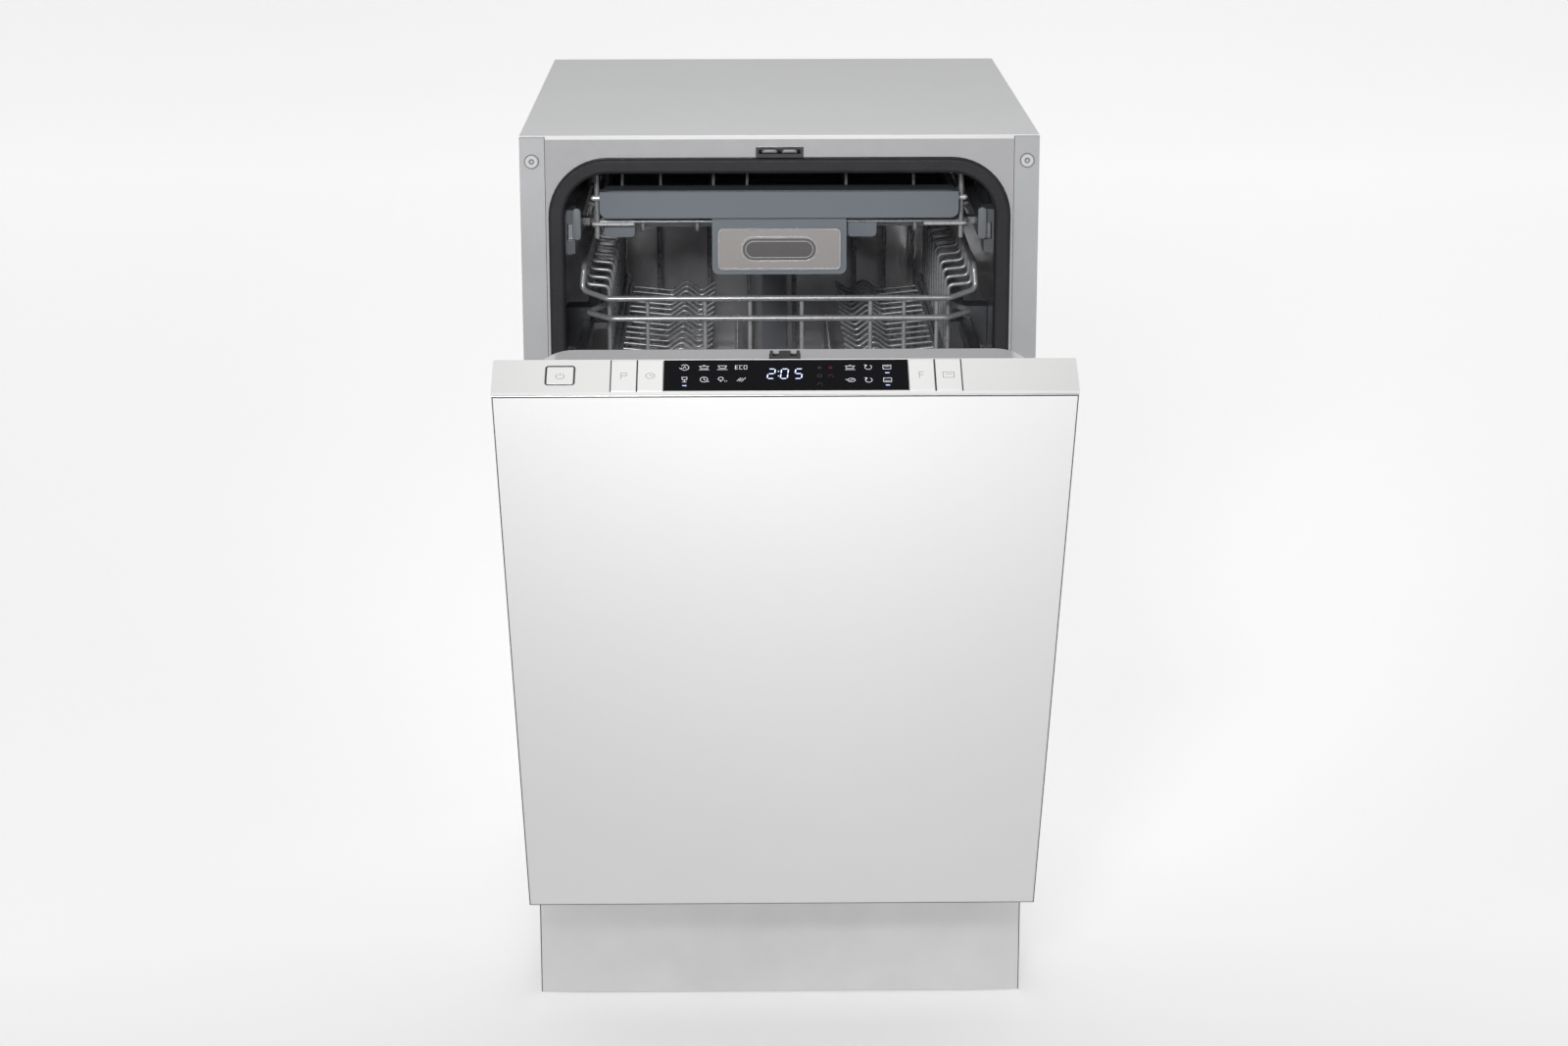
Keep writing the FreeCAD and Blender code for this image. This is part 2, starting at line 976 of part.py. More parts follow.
def slide_bars(label, level, inner):
    """Slide bars on both sides of a basket, tied to its wires by small brackets."""
    bars = []
    for side in SIDES.values():
        bar = box(
            mirrored(side, size.slide_half_width - 10, size.slide_half_width),
            (size.rack_front - 32, size.rack_rear),
            (level - slide_half_height, level + slide_half_height),
        )
        ties = [
            box(
                mirrored(side, inner, size.slide_half_width - 9),
                (y, y + 14),
                (level - 3, level + 3),
            )
            for y in (70, 255, 440)
        ]
        bars.append(fuse(bar, *ties))
    return sub_part(label, group(*bars))


slide_bars("basket_slides", slide_levels["basket"], size.upper_side_half_width + 1.8)
slide_bars("tray_slides", slide_levels["tray"], size.tray_half_width + 1.6)

# ---------------------------------------------------------------- upper basket

thin_wire = 1.9
thick_wire = 2.6
fine_wire = 1.5
front = float(size.rack_front)
rear = float(size.rack_rear)
rim = float(size.upper_rim)
rim_half = float(size.upper_rim_half_width)
side_half = float(size.upper_side_half_width)
floor = float(size.upper_floor)
# the rim drops at its two front corners to a straight front rail
rail = rim - 27
second_rail = rail - 18
under_rim = rim - thick_wire
shoulder = rim - 20

upper_wires = bent_wire(
    [
        (rim_half, rear, rim),
        (-rim_half, rear, rim),
        (-rim_half, front + 14, rim),
        (-rim_half - 2, front + 10, rail + 6),
        (-side_half, front, rail),
        (side_half, front, rail),
        (rim_half + 2, front + 10, rail + 6),
        (rim_half, front + 14, rim),
    ],
    thick_wire,
    7,
    closed=True,
)
upper_wires += bent_wire(
    [
        (-side_half - 2, front + 55, second_rail + 2),
        (-rim_half + 1, front + 20, second_rail + 2),
        (-side_half + 2, front, second_rail),
        (side_half - 2, front, second_rail),
        (rim_half - 1, front + 20, second_rail + 2),
        (side_half + 2, front + 55, second_rail + 2),
    ],
    thick_wire,
    9,
)
# wires across the basket, with a step under the rim on both sides
for y in spaced(front + 34, rear - 12, 11):
    upper_wires += bent_wire(
        [
            (-rim_half, y, under_rim),
            (-rim_half, y, shoulder),
            (-side_half, y, shoulder - 2),
            (-side_half, y, floor),
            (side_half, y, floor),
            (side_half, y, shoulder - 2),
            (rim_half, y, shoulder),
            (rim_half, y, under_rim),
        ],
        thin_wire,
        5,
    )
# wires from the front rail, under the floor and up to the rim at the rear
front_wire_y = front + thick_wire + thin_wire
for x in (-117, -66, -26, 20, 81, 111, 140):
    upper_wires += bent_wire(
        [
            (x, front_wire_y, rail + 1),
            (x, front_wire_y, floor - 2 * thin_wire),
            (x, rear - thick_wire - thin_wire, floor - 2 * thin_wire),
            (x, rear - thick_wire - thin_wire, rim),
        ],
        thin_wire,
        8,
    )
for x in (-side_half + 2 * thin_wire, side_half - 2 * thin_wire):
    for z in (floor + 50, second_rail - 40):
        upper_wires.append(straight_wire((x, front + 30, z), (x, rear - 8, z), thin_wire))
# two rows of plate tines
tine_foot = floor + 2 * thin_wire
for x in (-38, 52):
    upper_wires.append(straight_wire((x, front + 20, tine_foot), (x, rear - 10, tine_foot), thin_wire))
    for y in spaced(front + 48, rear - 30, 12):
        upper_wires.append(straight_wire((x, y, tine_foot), (x, y + 10, floor + 62), fine_wire))
wirework("upper_basket", upper_wires)

# cup shelves: a pivot rod along each side, with wavy wires that reach inwards
pivot_x = side_half - 8
pivot_z = floor + 97


def wavy_wire(side, y):
    """A shelf wire that leaves the pivot rod and ends in two small waves."""
    return bent_wire(
        [
            (side * (pivot_x - 2), y, pivot_z),
            (side * (pivot_x - 42), y, pivot_z - 4),
            (side * (pivot_x - 56), y, pivot_z + 6),
            (side * (pivot_x - 70), y, pivot_z - 5),
            (side * (pivot_x - 84), y, pivot_z + 4),
        ],
        fine_wire,
        5,
    )


for side_name, side in SIDES.items():
    shelf_wires = [
        straight_wire(
            (side * pivot_x, front + 40, pivot_z), (side * pivot_x, rear - 40, pivot_z), 2.5
        )
    ]
    for reach in (36, 20):
        level = pivot_z - 4 * reach / 40 - fine_wire - thin_wire
        x = side * (pivot_x - reach)
        shelf_wires.append(straight_wire((x, front + 48, level), (x, rear - 48, level), thin_wire))
    for y in spaced(front + 52, rear - 52, 14):
        shelf_wires += wavy_wire(side, y)
    wirework(f"cup_shelf_{side_name}", shelf_wires)

upper_arm_low = floor - 45
hub_under = upper_arm_low + 17.5
pipe_level = size.upper_floor - 18
feed_pipe = new_body()
pad(feed_pipe, "XZ", (size.spray_y, duct_back - 26.5), circle(0, pipe_level, 9))
pad(feed_pipe, "XY", (hub_under, pipe_level + 9), circle(0, size.spray_y, 15))
pad(feed_pipe, "XY", (upper_arm_low - 2, hub_under), circle(0, size.spray_y, pin_radius))
pad(feed_pipe, "XY", (upper_arm_low - 5, upper_arm_low - 1), circle(0, size.spray_y, 9))
sub_part("upper_feed_pipe", feed_pipe)
spray_arm("upper_spray_arm", upper_arm_low, upper_arm_low + 18)

# ---------------------------------------------------------------- cutlery tray

tray_half = float(size.tray_half_width)
tray_floor = float(size.tray_floor)
tray_rim = float(size.tray_rim)
post_x = tray_half - 6


def tray_ring(z, radius):
    corners = [
        (-tray_half, front, z),
        (tray_half, front, z),
        (tray_half, rear, z),
        (-tray_half, rear, z),
    ]
    return bent_wire(corners, radius, 8, closed=True)


tray_wires = tray_ring(tray_rim, 2) + tray_ring(tray_floor + 6, fine_wire)
for y in spaced(front + 18, rear - 14, 14):
    tray_wires += bent_wire(
        [
            (-tray_half + 3.4, y, tray_rim),
            (-tray_half + 3.4, y, tray_floor),
            (tray_half - 3.4, y, tray_floor),
            (tray_half - 3.4, y, tray_rim),
        ],
        fine_wire,
        5,
    )
for x in (-120, -72, -24, 24, 72, 120):
    below = tray_floor - 2 * fine_wire
    tray_wires += bent_wire(
        [
            (x, front + 3.5, tray_rim),
            (x, front + 3.5, below),
            (x, rear - 3.5, below),
            (x, rear - 3.5, tray_rim),
        ],
        fine_wire,
        5,
    )
for x in (-post_x, post_x):
    for y in (front - 4, rear + 4):
        tray_wires.append(straight_wire((x, y, tray_floor - 8), (x, y, tray_rim + 30), 2.2))
wirework("cutlery_tray", tray_wires)

insert_floor = size.tray_floor + 2
insert_top = size.tray_rim + 10
tray_insert = new_body()
insert_y = (size.rack_front + 8, size.rack_rear - 8)
pad(
    tray_insert,
    "XY",
    (insert_floor, insert_top),
    rectangle((12 - size.tray_half_width, size.tray_half_width - 12), insert_y),
)
for low_x, high_x in ((-152, -62), (-59, 59), (62, 152)):
    pocket(
        tray_insert,
        "XY",
        (insert_floor + 1.6, insert_top + 1),
        rectangle((low_x, high_x), (insert_y[0] + 2, insert_y[1] - 2)),
    )
# low ribs that hold the cutlery apart
pad(
    tray_insert,
    "XY",
    (insert_floor + 1, insert_floor + 6),
    *[rectangle((-153, 153), (y, y + 1.6)) for y in spaced(front + 40, rear - 40, 12)],
)
sub_part("tray_insert", tray_insert)

handle_bottom = size.handle_top - 23
tray_handle = new_body()
pad(
    tray_handle,
    "XZ",
    (31, 47.6),
    rectangle((-157, 157), (handle_bottom, size.handle_top)),
)
soften("Fillet", tray_handle, 7, lambda edge: runs_along("y")(edge) and edge.BoundBox.ZMax < 750)
pad(
    tray_handle,
    "XZ",
    (37, 47.6),
    rectangle((-59, 59), (size.handle_top - 74, handle_bottom + 4)),
)
soften(
    "Fillet",
    tray_handle,
    6,
    lambda edge: runs_along("y")(edge) and edge.BoundBox.ZMax < 700,
)
sub_part("tray_handle", tray_handle)

nameplate = new_body()
plate_low = size.handle_top - 70
pad(nameplate, "XZ", (35, 36.9), rectangle((-54, 54), (plate_low, plate_low + 37)))
soften("Fillet", nameplate, 4, runs_along("y"))
soften("Chamfer", nameplate, 0.8, lies_at("y", 35))
sub_part("blank_nameplate", nameplate)

# ---------------------------------------------------------------- lower basket

low_rim = float(size.lower_rim)
low_half = float(size.lower_half_width)
low_floor = float(size.lower_floor)
low_front_rail = low_rim - 30
wheel_radius = 16
wheel_z = size.ledge_top + wheel_radius + 0.3
wheel_places = {"front": front + 70, "rear": rear - 50}
wheel_inner = 168.3
axle_radius = 3

lower_wires = bent_wire(
    [
        (low_half, rear, low_rim),
        (-low_half, rear, low_rim),
        (-low_half, front + 40, low_rim),
        (-low_half, front, low_front_rail),
        (low_half, front, low_front_rail),
        (low_half, front + 40, low_rim),
    ],
    thick_wire,
    12,
    closed=True,
)
for y in spaced(front + 50, rear - 12, 11):
    lower_wires += bent_wire(
        [
            (-low_half, y, low_rim - thick_wire),
            (-low_half, y, low_floor + 24),
            (-low_half + 18, y, low_floor),
            (low_half - 18, y, low_floor),
            (low_half, y, low_floor + 24),
            (low_half, y, low_rim - thick_wire),
        ],
        thin_wire,
        8,
    )
for x in (-140, -100, -50, 0, 50, 100, 140):
    lower_wires += bent_wire(
        [
            (x, front_wire_y, low_front_rail),
            (x, front_wire_y, low_floor - 2 * thin_wire),
            (x, rear - thick_wire - thin_wire, low_floor - 2 * thin_wire),
            (x, rear - thick_wire - thin_wire, low_rim),
        ],
        thin_wire,
        8,
    )
for x in (-low_half + 2 * thin_wire, low_half - 2 * thin_wire):
    for z in (low_floor + 55, low_floor + 95):
        lower_wires.append(straight_wire((x, front + 30, z), (x, rear - 8, z), thin_wire))
low_tine_foot = low_floor + 2 * thin_wire
for x in (-95, -30, 35, 100):
    lower_wires.append(
        straight_wire((x, front + 20, low_tine_foot), (x, rear - 10, low_tine_foot), thin_wire)
    )
    for y in spaced(front + 66, rear - 30, 11):
        lower_wires.append(straight_wire((x, y, low_tine_foot), (x, y + 12, low_floor + 92), fine_wire))
# clips that carry the wheel axles
for side in SIDES.values():
    for y in wheel_places.values():
        clip = Part.makeBox(5, 24, 36, FreeCAD.Vector(side * 161 - 2.5, y - 12, float(wheel_z) - 8))
        axle = straight_wire(
            (side * 158.5, y, wheel_z), (side * (wheel_inner + 10.5), y, wheel_z), axle_radius
        )
        keeper = straight_wire(
            (side * (wheel_inner + 8.5), y, wheel_z), (side * (wheel_inner + 10.5), y, wheel_z), 5
        )
        lower_wires.append(clip.fuse([axle, keeper]))
wirework("lower_basket", lower_wires)

for place, y in wheel_places.items():
    wheels = [
        turned(
            "x",
            (0, y, wheel_z),
            [
                (side * wheel_inner, axle_radius + 0.05),
                (side * wheel_inner, 7),
                (side * (wheel_inner + 1.5), 7),
                (side * (wheel_inner + 1.5), 13),
                (side * wheel_inner, 13.5),
                (side * wheel_inner, wheel_radius - 0.8),
                (side * (wheel_inner + 0.8), wheel_radius),
                (side * (wheel_inner + 7.2), wheel_radius),
                (side * (wheel_inner + 8), wheel_radius - 0.8),
                (side * (wheel_inner + 8), axle_radius + 0.05),
            ],
        )
        for side in SIDES.values()
    ]
    sub_part(f"lower_wheels_{place}", group(*wheels))

# ---------------------------------------------------------------- hinges

pin_clear = 0.05
brackets = []
arms = []
for side in SIDES.values():
    plate = new_body()
    pad(
        plate,
        "YZ",
        mirrored(side, 211, 213),
        loop(
            [
                (6, size.hinge_z),
                (28, size.base_top + 1),
                (66.5, size.base_top + 1),
                (66.5, 60),
                (115, 60),
                (115, 118),
                (60, 135),
                (12, 128),
                (6, 118),
            ]
        ),
    )
    pad(
        plate,
        "YZ",
        mirrored(side, 203.5, 211),
        circle(size.hinge_y, size.hinge_z, size.hinge_pin_radius),
    )
    brackets.append(plate)

    arm = new_body()
    pad(
        arm,
        "YZ",
        mirrored(side, 206, 209),
        loop(
            [
                (size.hinge_y - 8, size.hinge_z - 2),
                (size.hinge_y + 6, size.hinge_z - 9),
                (size.hinge_y + 26, size.hinge_z - 8),
                (size.hinge_y + 26, size.hinge_z + 1),
                (size.hinge_y + 8, size.hinge_z + 9),
                (-24, 180),
                (-30, 196),
                (-30, 330),
                (-44, 330),
                (-44, 178),
                (-28, 155),
            ]
        ),
    )
    pocket(
        arm,
        "YZ",
        mirrored(side, 205, 210),
        circle(size.hinge_y, size.hinge_z, size.hinge_pin_radius + pin_clear),
    )
    arms.append(arm)
sub_part("hinge_brackets", group(*brackets))
sub_part("hinge_arms", group(*arms), DOOR_FRAME)

# a coil spring on each side pulls on the tail of the hinge arm
coil_radius = 6
spring_z = 80
spring_y = (120, 250)
spring_x = 207.5
spring_solids = []
for side in SIDES.values():
    start = FreeCAD.Vector(side * spring_x, spring_y[0], spring_z)
    helix = Part.makeHelix(5, spring_y[1] - spring_y[0], coil_radius)
    section = Part.Wire(
        Part.makeCircle(1, FreeCAD.Vector(coil_radius, 0, 0), FreeCAD.Vector(0, 1, 0))
    )
    coil = Part.Wire(helix.Edges).makePipeShell([section], True, True)
    coil.rotate(FreeCAD.Vector(0, 0, 0), FreeCAD.Vector(1, 0, 0), -90)
    coil.translate(start)
    spring_solids.append(coil)
    hook = start + FreeCAD.Vector(0, -42, 24)
    spring_solids.append(straight_wire(start, hook, 1))
springs = doc.addObject("Part::Feature", "springs")
springs.Shape = Part.makeCompound(spring_solids)
sub_part("door_springs", springs)

# ---------------------------------------------------------------- door

liner_flange = size.liner_flange
liner_face = size.liner_face
plug = size.plug_half_width
flange_bottom = 158.5
door_liner = new_body()
pad(
    door_liner,
    "XZ",
    (-liner_flange - steel, -liner_flange),
    loop(
        [
            (-plug, flange_bottom),
            (plug, flange_bottom),
            (plug, 192),
            (door_half - 2, 192),
            (door_half - 2, size.door_top - 16),
            (2 - door_half, size.door_top - 16),
            (2 - door_half, 192),
            (-plug, 192),
        ]
    ),
)
plug_z = (size.plug_bottom, size.plug_top)
pad(door_liner, "XZ", (-liner_flange, -liner_face), rounded((-plug, plug), plug_z, 35))
pocket(
    door_liner,
    "XZ",
    (-liner_flange - 2 * steel, -liner_face - steel),
    rounded((steel - plug, plug - steel), (plug_z[0] + steel, plug_z[1] - steel), 34),
)
# the underside slopes up towards the outside of the door
underside_slope = 1.2
slope_run = liner_flange + 2 - liner_face
pocket(
    door_liner,
    "YZ",
    (-half_width, half_width),
    loop(
        [
            (2, size.plug_bottom - 40),
            (2, size.plug_bottom - underside_slope * (liner_face + 2)),
            (-liner_flange - 2, size.plug_bottom + underside_slope * slope_run),
            (-liner_flange - 2, size.plug_bottom - 40),
        ]
    ),
)
dispenser_x = (-80, 60)
dispenser_z = (420, 540)
pocket(door_liner, "XZ", (-10, -4), rectangle(dispenser_x, dispenser_z))
pocket(
    door_liner,
    "XY",
    (size.plug_top - 3, size.plug_top + 1),
    rectangle((-12, 12), (-25.5, -11)),
)
sub_part("door_liner", door_liner, DOOR_FRAME)

skin_top = size.door_top - 30.5
door_skin = new_body()
pad(
    door_skin,
    "XZ",
    (-size.skin_front, -size.skin_front + steel),
    rectangle((1 - door_half, door_half - 1), (size.skin_bottom, skin_top)),
)
pad(
    door_skin,
    "XZ",
    (-size.skin_front + steel, -liner_flange - 2),
    *[
        rectangle(mirrored(side, door_half - 2, door_half - 1), (size.skin_bottom + 15, skin_top))
        for side in SIDES.values()
    ],
)
sub_part("door_skin", door_skin, DOOR_FRAME)

decor_top = size.door_top - 4.2
decor_panel = new_body()
pad(
    decor_panel,
    "XZ",
    (-size.door_front, -size.door_front + size.decor_thickness),
    rectangle((-door_half, door_half), (size.decor_bottom, decor_top)),
)
soften("Chamfer", decor_panel, 0.7, lies_at("y", -size.door_front))
sub_part("decor_panel", decor_panel, DOOR_FRAME)

door_bottom = new_body()
pad(
    door_bottom,
    "YZ",
    (1.5 - plug, plug - 1.5),
    loop(
        [
            (-liner_face - steel - 0.3, size.plug_bottom + 2),
            (-size.skin_front + steel + 0.3, size.skin_bottom - 0.5),
            (-size.skin_front + steel + 0.3, size.skin_bottom + 2.5),
            (-liner_face - steel - 0.3, size.plug_bottom + 5),
        ]
    ),
)
# trimmed to the round corners of the liner it closes
pocket(
    door_bottom,
    "XZ",
    (-liner_flange - 0.3, 0),
    rectangle((-half_width, half_width), (100, 300)),
    rounded((1.4 - plug, plug - 1.4), (size.plug_bottom + 1.4, 290), 33.6),
)
sub_part("door_bottom_cover", door_bottom, DOOR_FRAME)

# console on the top edge of the door, with its keys in a row on both sides of the display
lip = size.door_front + 0.3
face = size.door_top
face_y = (-lip, -lip + size.console_depth + 0.3)
console_back = -liner_flange - steel - 0.3
keys = {
    "power_button": ((-181.6, -161.4), (-54.5, -34.5)),
    "program_button": ((-132.6, -113.4), (-63.2, -27.3)),
    "delay_button": ((-112.4, -93.2), (-63.2, -27.3)),
    "function_button": ((94.4, 113.7), (-63.2, -27.3)),
    "half_load_button": ((114.9, 134.2), (-63.2, -27.3)),
}
display_x = (-92.6, 93.8)
display_y = (-62.9, -27.0)
gap = 0.4
stem_y = -38
roof = face - 3.6

console = new_body()
pad(
    console,
    "XY",
    (face - 29, face - 2.8),
    rectangle((2 - door_half, door_half - 2), (-size.skin_front + 0.3, console_back)),
)
pocket(
    console,
    "XY",
    (face - 30, roof - 1.2),
    rectangle((4 - door_half, door_half - 4), (-size.skin_front + 2.3, console_back - 2)),
)
pad(console, "XY", (face - 2.8, face), rectangle((-door_half - 0.3, door_half + 0.3), face_y))
for key_x, key_y in keys.values():
    pocket(
        console,
        "XY",
        (roof, face + 1),
        rectangle((key_x[0] - gap, key_x[1] + gap), (key_y[0] - gap, key_y[1] + gap)),
    )
pocket(
    console,
    "XY",
    (roof - 3, roof + 1),
    *[circle((key_x[0] + key_x[1]) / 2, stem_y, 3.4) for key_x, key_y in keys.values()],
)
pocket(
    console,
    "XY",
    (face - 2, face + 1),
    rectangle((display_x[0] - 0.1, display_x[1] + 0.1), (display_y[0] - 0.1, display_y[1] + 0.1)),
)
sub_part("console", console, DOOR_FRAME)

display_window = new_body()
pad(display_window, "XY", (face - 1.98, face), rectangle(display_x, display_y))
sub_part("display_window", display_window, DOOR_FRAME)

board_top = face - 19.4
control_board = new_body()
board_y = (-size.skin_front + 2.6, console_back - 2.3)
pad(control_board, "XY", (board_top - 1.6, board_top), rectangle((-190, 150), board_y))
pad(
    control_board,
    "XY",
    (board_top, board_top + 8),
    rectangle((-80, 80), (-40, -32)),
)
sub_part("control_board", control_board, DOOR_FRAME)

key_bottom = face - 2.3
for label, (key_x, key_y) in keys.items():
    button = new_body()
    pad(button, "XY", (key_bottom, face), rectangle(key_x, key_y))
    soften("Fillet", button, 0.4, lies_at("z", face))
    pad(
        button,
        "XY",
        (board_top + 1.4, key_bottom),
        circle((key_x[0] + key_x[1]) / 2, stem_y, 3),
    )
    sub_part(label, button, DOOR_FRAME)

door_latch = new_body()
pad(
    door_latch,
    "XY",
    (size.plug_top - 12, size.plug_top + 5),
    rectangle((-11.5, 11.5), (-25, -11.5)),
)
soften("Fillet", door_latch, 3, lambda edge: runs_along("x")(edge) and edge.BoundBox.ZMin > 790)
pocket(
    door_latch,
    "XY",
    (size.plug_top - 6, size.plug_top + 6),
    *[rectangle(mirrored(side, 4.5, 9), (-20, -5)) for side in SIDES.values()],
)
sub_part("door_latch", door_latch, DOOR_FRAME)

# ---------------------------------------------------------------- dispenser

lid_pivot_y = -2.9
lid_pivot_z = 427.2
barrel_radius = 1.9
lid_pin_radius = 1.1
dispenser_cap = (25, 480)
dispenser_face = -4.9
dispenser_body = new_body()
pad(
    dispenser_body,
    "XZ",
    (-24, -6.3),
    rectangle(
        (dispenser_x[0] + 0.3, dispenser_x[1] - 0.3), (dispenser_z[0] + 0.3, dispenser_z[1] - 0.3)
    ),
)
pad(
    dispenser_body,
    "XZ",
    (-6.3, -liner_face),
    rectangle(
        (dispenser_x[0] + 0.3, dispenser_x[1] - 0.3), (dispenser_z[0] + 0.3, dispenser_z[1] - 0.3)
    ),
)
pad(
    dispenser_body,
    "XZ",
    (-liner_face, dispenser_face),
    rounded(
        (dispenser_x[0] - 4, dispenser_x[1] + 4), (dispenser_z[0] - 4, dispenser_z[1] + 4), 8
    ),
)
cup_x = (-72, -16)
cup_z = (434, 528)
pocket(dispenser_body, "XZ", (-21, dispenser_face + 1), rounded(cup_x, cup_z, 6))
pocket(dispenser_body, "XZ", (-14, dispenser_face + 1), circle(*dispenser_cap, 18))
# lugs that hold the lid's pins
pad(
    dispenser_body,
    "XZ",
    (dispenser_face - 0.5, -0.6),
    *[rectangle(x, (lid_pivot_z - 3, lid_pivot_z + 3)) for x in ((-79, -74), (-14, -9))],
)
pocket(
    dispenser_body,
    "YZ",
    (-80, -8),
    circle(lid_pivot_y, lid_pivot_z, lid_pin_radius + pin_clear),
)
sub_part("dispenser_body", dispenser_body, DOOR_FRAME)

dispenser_lid = new_body()
pad(
    dispenser_lid,
    "XZ",
    (-4.5, -2.7),
    rectangle((-73.5, -14.5), (lid_pivot_z + 1.2, cup_z[1] + 4)),
)
pad(dispenser_lid, "YZ", (-73.5, -14.5), circle(lid_pivot_y, lid_pivot_z, barrel_radius))
pad(dispenser_lid, "YZ", (-78, -10), circle(lid_pivot_y, lid_pivot_z, lid_pin_radius))
sub_part("dispenser_lid", dispenser_lid, DOOR_FRAME)

rinse_aid_cap = turned(
    "y",
    (dispenser_cap[0], 0, dispenser_cap[1]),
    [
        (-13, 0),
        (-13, 16),
        (dispenser_face + 0.3, 16),
        (dispenser_face + 0.3, 21),
        (-1.5, 21),
        (-1, 20),
        (-1, 0),
    ],
)
pad(
    rinse_aid_cap,
    "XZ",
    (-1, 2),
    rectangle(
        (dispenser_cap[0] - 17, dispenser_cap[0] + 17), (dispenser_cap[1] - 3, dispenser_cap[1] + 3)
    ),
)
sub_part("rinse_aid_cap", rinse_aid_cap, DOOR_FRAME)

# ---------------------------------------------------------------- check and write

doc.recompute()
failed = [o.Label for o in doc.Objects if "Invalid" in o.State or "Error" in o.State]
if failed:
    raise ValueError(f"did not recompute: {failed}")
for item in sub_parts:
    if item.Shape.isNull() or not item.Shape.isValid():
        raise ValueError(f"{item.Label} has no valid shape")
os.makedirs("parts", exist_ok=True)
for item in sub_parts:
    item.Shape.exportStep(f"parts/{item.Label}.step")
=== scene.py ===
"""Looks of the built-in dishwasher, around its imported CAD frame."""

import json
import math

import bmesh
import bpy
from mathutils import Matrix, Vector


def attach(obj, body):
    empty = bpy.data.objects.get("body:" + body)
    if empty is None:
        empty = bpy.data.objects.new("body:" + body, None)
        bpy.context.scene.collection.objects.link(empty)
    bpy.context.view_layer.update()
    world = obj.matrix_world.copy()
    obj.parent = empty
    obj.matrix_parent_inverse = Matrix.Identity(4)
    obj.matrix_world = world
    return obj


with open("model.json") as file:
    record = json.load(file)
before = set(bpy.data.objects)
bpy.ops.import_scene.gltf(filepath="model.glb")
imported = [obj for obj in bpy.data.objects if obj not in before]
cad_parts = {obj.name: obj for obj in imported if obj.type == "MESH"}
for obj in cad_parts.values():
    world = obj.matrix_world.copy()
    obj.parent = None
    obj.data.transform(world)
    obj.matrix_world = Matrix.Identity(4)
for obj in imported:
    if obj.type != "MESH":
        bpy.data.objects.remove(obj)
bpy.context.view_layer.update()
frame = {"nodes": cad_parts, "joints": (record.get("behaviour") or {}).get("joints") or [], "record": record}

NODES = frame["nodes"]
JOINTS = {joint["name"]: joint for joint in frame["joints"]}
MM = 0.001

# ---------------------------------------------------------------- the door's place

HINGE = Vector(JOINTS["door_hinge"]["pos_m"])
DOOR_ANGLE = math.radians(-JOINTS["door_hinge"]["range_deg"][0])
DOOR_SWING = Matrix.Rotation(DOOR_ANGLE, 4, "X")
# turns a point of the shut door to where it is on the door as it stands
DOOR = Matrix.Translation(HINGE) @ DOOR_SWING @ Matrix.Translation(-HINGE)
HINGE_DEPTH = 20 * MM
# y of the tub's front plane, from which depths are counted
TUB_FRONT = HINGE.y - HINGE_DEPTH
CONSOLE_TOP = 0.795


def at(x, depth, z):
    """A point in millimetres, its depth counted from the tub's front plane."""
    return Vector((x * MM, TUB_FRONT + depth * MM, z * MM))


# ---------------------------------------------------------------- materials

# the part of a noise's range that it really fills
NOISE_SPAN = (0.3, 0.7)
CLOUD_DETAIL, GRAIN_DETAIL = 4.0, 2.0
COAT_ROUGHNESS = 0.12
# pointiness from a flat place to a fully worn edge
WORN_SPAN = (0.52, 0.6)


def noise(tree, scale, detail, stretch=None):
    """A noise in object coordinates, optionally stretched along an axis."""
    coordinates = tree.nodes.new("ShaderNodeTexCoord")
    mapping = tree.nodes.new("ShaderNodeMapping")
    if stretch:
        mapping.inputs["Scale"].default_value = stretch
    tree.links.new(coordinates.outputs["Object"], mapping.inputs["Vector"])
    texture = tree.nodes.new("ShaderNodeTexNoise")
    texture.inputs["Scale"].default_value = scale
    texture.inputs["Detail"].default_value = detail
    tree.links.new(mapping.outputs["Vector"], texture.inputs["Vector"])
    return texture.outputs["Fac"]


def remapped(tree, value, low, high, inner=NOISE_SPAN):
    """Carries the inner span of a value over to the span from low to high."""
    span = tree.nodes.new("ShaderNodeMapRange")
    span.inputs["From Min"].default_value = inner[0]
    span.inputs["From Max"].default_value = inner[1]
    span.inputs["To Min"].default_value = low
    span.inputs["To Max"].default_value = high
    tree.links.new(value, span.inputs["Value"])
    return span.outputs["Result"]


